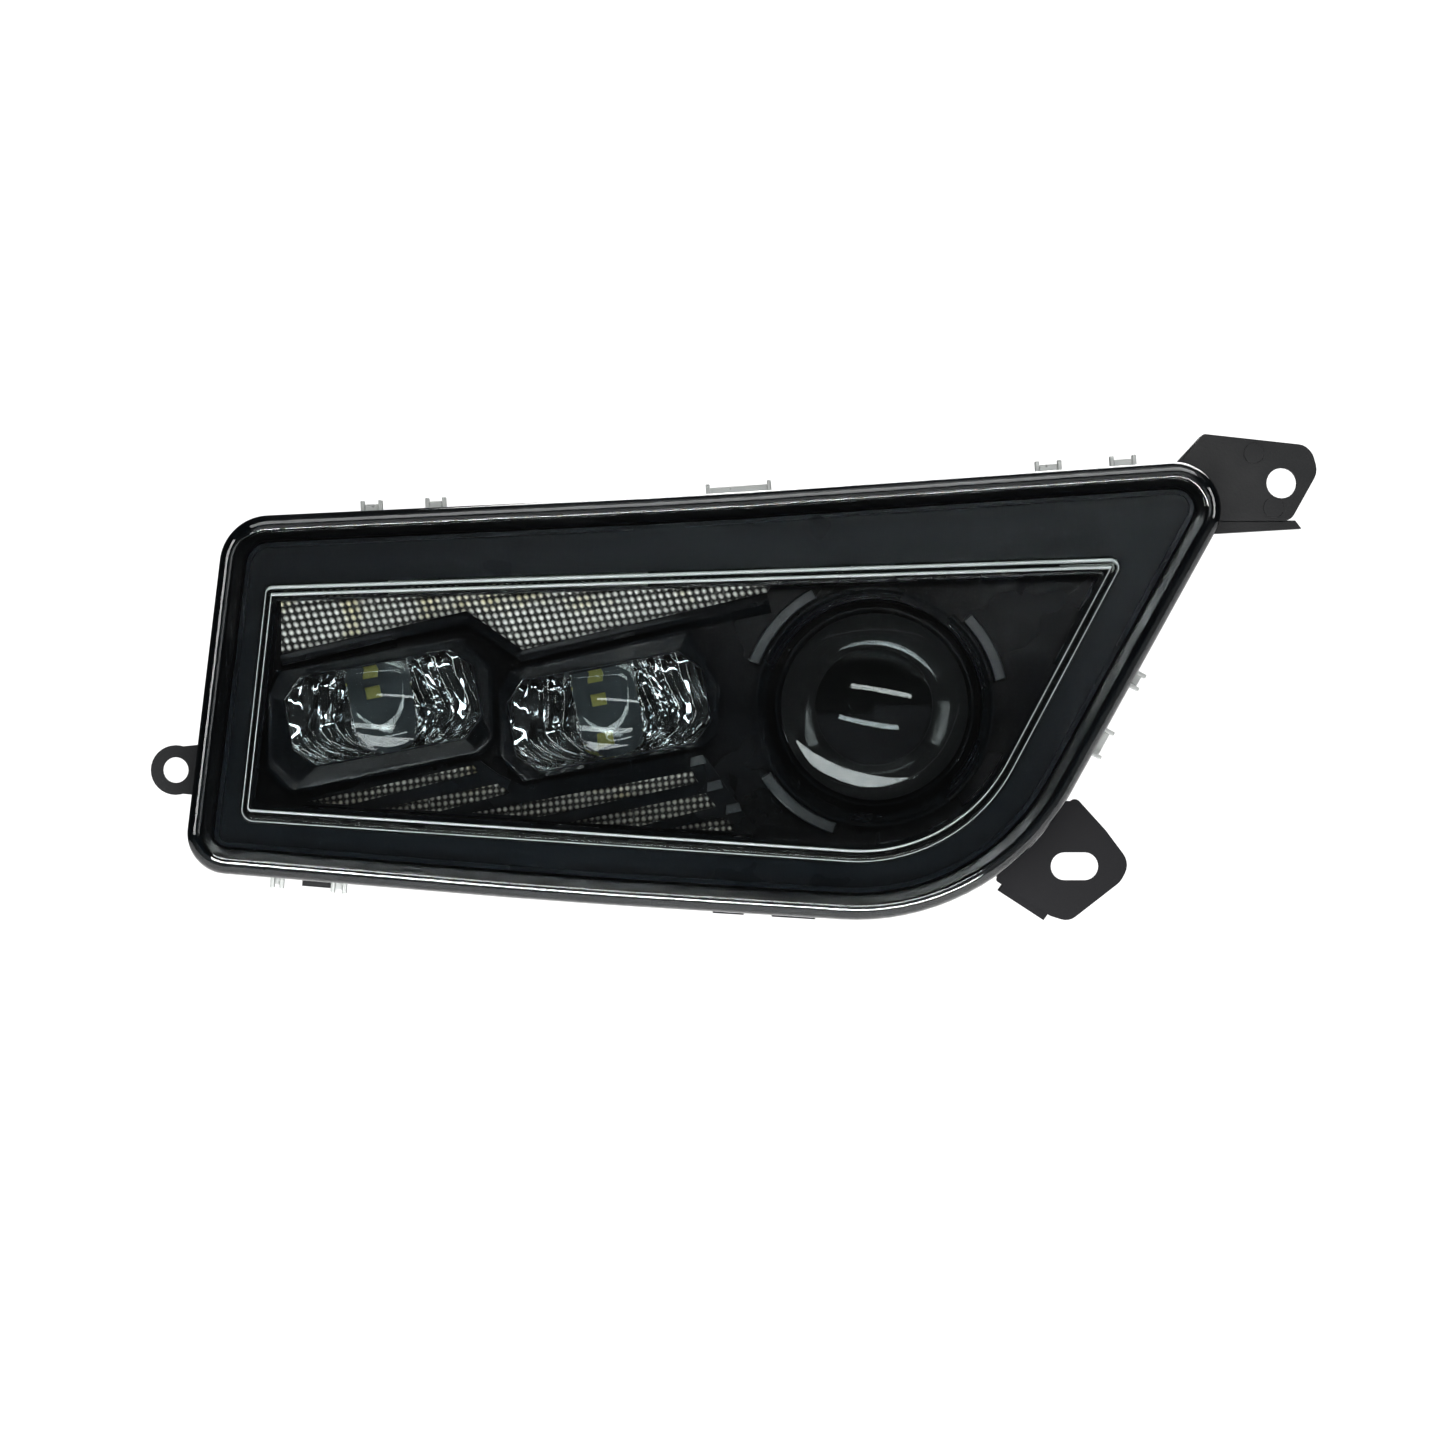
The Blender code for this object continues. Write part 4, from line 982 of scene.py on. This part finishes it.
# %% Rounded outside pieces
for node, material, width in (
    ("rear_housing", housing_plastic, 0.5),
    ("lower_bracket", powder_steel, 0.4),
    ("connector_socket", housing_plastic, 0.4),
    ("adjuster_knob", natural_nylon, 0.5),
    ("carrier_frame", blasted_aluminium, 0.4),
    ("ball_socket", natural_nylon, 0.3),
):
    eased_copy(node, material, width)


def rounded_box(bm, low, high, radius):
    """A plate in X and Z with round corners; low and high are opposite corners, y included."""
    (x0, y0, z0), (x1, y1, z1) = low, high
    corners = [(x0, z1, radius), (x1, z1, radius), (x1, z0, radius), (x0, z0, radius)]
    prism(bm, ring(corners), y0, y1)


FINS, FIN_WIDTH, FIRST_FIN, FIN_SPAN = 13, 2.2, -141.0, 117.0
RIBS, RIB_PITCH, RIB_WIDTH, RIB_HALF_HIGH = 7, 5.2, 1.8, 18.0
COVER_HALF = 28.0


def heat_sink():
    """Die-cast sink: a base plate, 13 upright fins and the two feet that carry the optic boards."""
    bm = bmesh.new()
    rounded_box(bm, (-149.0, 8.3, -34.0), (-16.0, 11.3, 13.0), 3.0)
    for k in range(FINS):
        x = FIRST_FIN + k * (FIN_SPAN - FIN_WIDTH) / (FINS - 1)
        rounded_box(bm, (x, 11.0, -30.0), (x + FIN_WIDTH, 30.0, 9.0), 0.5)
    for cx, cz, width, height in OPTICS:
        half_u, half_v = width / 2 - 5.0, height / 2 - 4.0
        corners = [(-half_u, half_v), (half_u, half_v), (half_u, -half_v), (-half_u, -half_v)]
        prism(bm, [tilted((cx, cz), u, v) for u, v in corners], -27.8, 8.6)
    sink = from_bmesh("heat_sink_casting", bm)
    ease_edges(sink, 0.4)
    register(sink, blasted_aluminium, "housing", "module_heat_sink")


def pod_cover():
    """The square cover over the projector's bulb side, with seven stiffening ribs."""
    x, z = PROJECTOR
    bm = bmesh.new()
    rounded_box(bm, (x - COVER_HALF, 47.7, z - COVER_HALF), (x + COVER_HALF, 50.2, z + COVER_HALF), 6.0)
    for k in range(RIBS):
        left = x + (k - RIBS // 2) * RIB_PITCH - RIB_WIDTH / 2
        rounded_box(bm, (left, 50.0, z - RIB_HALF_HIGH), (left + RIB_WIDTH, 54.0, z + RIB_HALF_HIGH), 0.4)
    cover = from_bmesh("pod_cover_moulding", bm)
    ease_edges(cover, 0.35)
    register(cover, housing_plastic, "housing", "rear_cover")


heat_sink()
pod_cover()


def ejector_marks():
    """Two round pads where the mould's pins pushed the ear out."""
    bm = bmesh.new()
    for centre in ((167.5, 72.2), (173.9, 54.6)):
        rim = arc(centre, 3.3, 360, 0, 32)[:-1]
        prism(bm, rim, -22.25, -21.8)
    pads = from_bmesh("ejector_marks", bm)
    ease_edges(pads, 0.12)
    register(pads, housing_plastic, "housing")


ejector_marks()
print("fins and ribs drawn again:", FINS, RIBS)

# %% [markdown]
# ## Finishes for the rest
# Every other solid keeps its shape and only gets a finish, chosen by the kind of part it is. A few
# inner parts get a darker one than their kind has: the boards and the shield because a real lamp keeps stray
# light down there, and the projector's reflector bowl as painted shade for the dark inside of the projector.

# %% Finishes for the solids that stay
KEPT = {
    "seal": seal_rubber,
    "board": white_board,
    "plated_steel": zinc_plate,
    "nylon": natural_nylon,
    "brass": brass_blade,
    "reflector": mirror_coat,
    "housing": housing_plastic,
    "bezel": shaded_inner_abs,
    "gloss_bezel": gloss_cup,
    "die_cast": blasted_aluminium,
    "bracket_steel": powder_steel,
    "outer_lens": clear_polycarbonate,
    "light_guide": clear_acrylic,
    "optic": clear_optic,
    "prism": marker_beads,
    "projector_glass": projector_glass,
}
SPECIAL = {
    "optic_board_1": grey_board,
    "optic_board_2": grey_board,
    "cutoff_shield": powder_steel,
    "reflector_bowl": shaded_bowl_mirror,
    "projector_led_board": black_board,
}
for node, obj in NODES.items():
    for slot in obj.material_slots:
        slot.material = SPECIAL.get(node, KEPT[SLOT_OF[node]])
print("solids with a finish:", len(NODES))

# %% [markdown]
# ## Room, light and camera
# The lamp hangs over a plain pale floor in a white room. Black gloss is drawn by what it mirrors, so the
# room that the lens mirrors is dark, although the view sees it white.

# %% Floor and world
FLOOR_Z = -0.30
FLOOR_RADIUS = 1.6
FLOOR_AHEAD = 0.16  # the floor ends just in front of the lamp, so that the round glass doesn't mirror it


def floor():
    """Matt white paper; it glows for the view only, so that its far edge melts into the room."""
    bm = bmesh.new()
    bmesh.ops.create_circle(bm, cap_ends=True, segments=96, radius=FLOOR_RADIUS)
    bmesh.ops.translate(bm, vec=(0, FLOOR_RADIUS - FLOOR_AHEAD, FLOOR_Z), verts=bm.verts)
    mesh = bpy.data.meshes.new("floor")
    bm.to_mesh(mesh)
    bm.free()
    obj = bpy.data.objects.new("floor", mesh)
    bpy.context.scene.collection.objects.link(obj)
    material, tree, shader = new_material("matt_paper_floor")
    tint = blend(tree, noise(tree, place_on(tree), 2.0), "#f6f6f5", "#ffffff")
    rays = add(tree, "ShaderNodeLightPath")
    glow = add(tree, "ShaderNodeMix", {"Factor": rays.outputs["Is Camera Ray"], "A": 0.2, "B": 0.95})
    wire(tree, shader,
         {"Base Color": tint, "Emission Color": tint, "Emission Strength": glow.outputs["Result"]},
         {"Roughness": 0.8})
    mesh.materials.append(material)


def room():
    """White to look at, nearly dark to everything that mirrors it."""
    world = bpy.data.worlds.new("bright_room")
    bpy.context.scene.world = world
    world.use_nodes = True
    tree = world.node_tree
    tree.nodes.clear()
    rays = add(tree, "ShaderNodeLightPath")
    level = add(tree, "ShaderNodeMix", {"Factor": rays.outputs["Is Camera Ray"], "A": 0.03, "B": 1.0})
    back = add(tree, "ShaderNodeBackground", {"Color": linear("#ffffff"),
                                              "Strength": level.outputs["Result"]})
    add(tree, "ShaderNodeOutputWorld", {"Surface": back.outputs[0]})


floor()
room()
print("floor at z =", FLOOR_Z)

# %% [markdown]
# ## Lights and view
# Four soft boxes fill in from above, the sides and behind. Two long narrow lights are placed by the rule
# of the mirror: one low and near draws the broad crescent at the foot of the round glass, and one high
# and far draws the thin streaks above. A long lens from three metres keeps the lamp's sides parallel.

# %% Soft boxes and camera
CENTRE = Vector((-0.0038, 0.0, -0.0146))
VIEW_DISTANCE = 3.0
FRAME_WIDTH = 0.4624  # what the view takes in at the lens, in metres


def soft_box(name, place, target, size, power):
    """A soft box at place that faces target; size in metres, power in watts."""
    lamp = bpy.data.lights.new(name, "AREA")
    lamp.shape = "RECTANGLE"
    lamp.size, lamp.size_y = size
    lamp.energy = power
    obj = bpy.data.objects.new(name, lamp)
    obj.location = place
    obj.rotation_euler = (Vector(target) - Vector(place)).to_track_quat("-Z", "Y").to_euler()
    obj.visible_camera = False
    bpy.context.scene.collection.objects.link(obj)


def tube_light(name, start, end, target, width, power):
    """A long narrow soft box whose long side runs from start to end."""
    start, end, target = Vector(start), Vector(end), Vector(target)
    along = (end - start).normalized()
    middle = (start + end) / 2
    back = middle - target
    back = (back - along * back.dot(along)).normalized()
    lamp = bpy.data.lights.new(name, "AREA")
    lamp.shape = "RECTANGLE"
    lamp.size, lamp.size_y = (end - start).length, width
    lamp.energy = power
    obj = bpy.data.objects.new(name, lamp)
    obj.location = middle
    obj.rotation_euler = Matrix((along, back.cross(along), back)).transposed().to_euler()
    obj.visible_camera = False
    bpy.context.scene.collection.objects.link(obj)


GLASS = (0.045, -0.042, -0.0095)  # the front of the projector glass
soft_box("top_box", (0.05, -0.32, 1.05), CENTRE, (1.5, 0.5), 8.0)
soft_box("left_box", (-1.0, -0.30, 0.25), CENTRE, (0.3, 0.7), 4.0)
soft_box("right_box", (1.0, -0.25, 0.20), CENTRE, (0.3, 0.7), 4.0)
soft_box("back_box", (0.3, 1.1, 0.7), CENTRE, (0.9, 0.9), 10.0)
tube_light("low_tube", (-0.229, -0.182, -0.137), (0.205, -0.182, -0.2655), GLASS, 0.044, 1.65)
tube_light("high_tube", (-0.278, -1.145, 0.285), (0.590, -1.145, 0.135), GLASS, 0.064, 5.2)


SENSOR = 36.0
LENS_DEPTH = LENS_FRONT * MM + 0.012  # where the frame width is measured, just behind the lens face


def camera():
    """Level and square to the lens, with the focal length that takes in the frame width."""
    data = bpy.data.cameras.new("view")
    data.sensor_width = SENSOR
    data.lens = data.sensor_width * VIEW_DISTANCE / FRAME_WIDTH
    obj = bpy.data.objects.new("view", data)
    obj.location = (CENTRE.x, LENS_DEPTH - VIEW_DISTANCE, CENTRE.z)
    obj.rotation_euler = (math.pi / 2, 0, 0)
    bpy.context.scene.collection.objects.link(obj)
    bpy.context.scene.camera = obj


camera()
bpy.context.scene.view_settings.view_transform = "Standard"
bpy.context.scene.view_settings.look = "Medium High Contrast"
print("view from", VIEW_DISTANCE, "m")
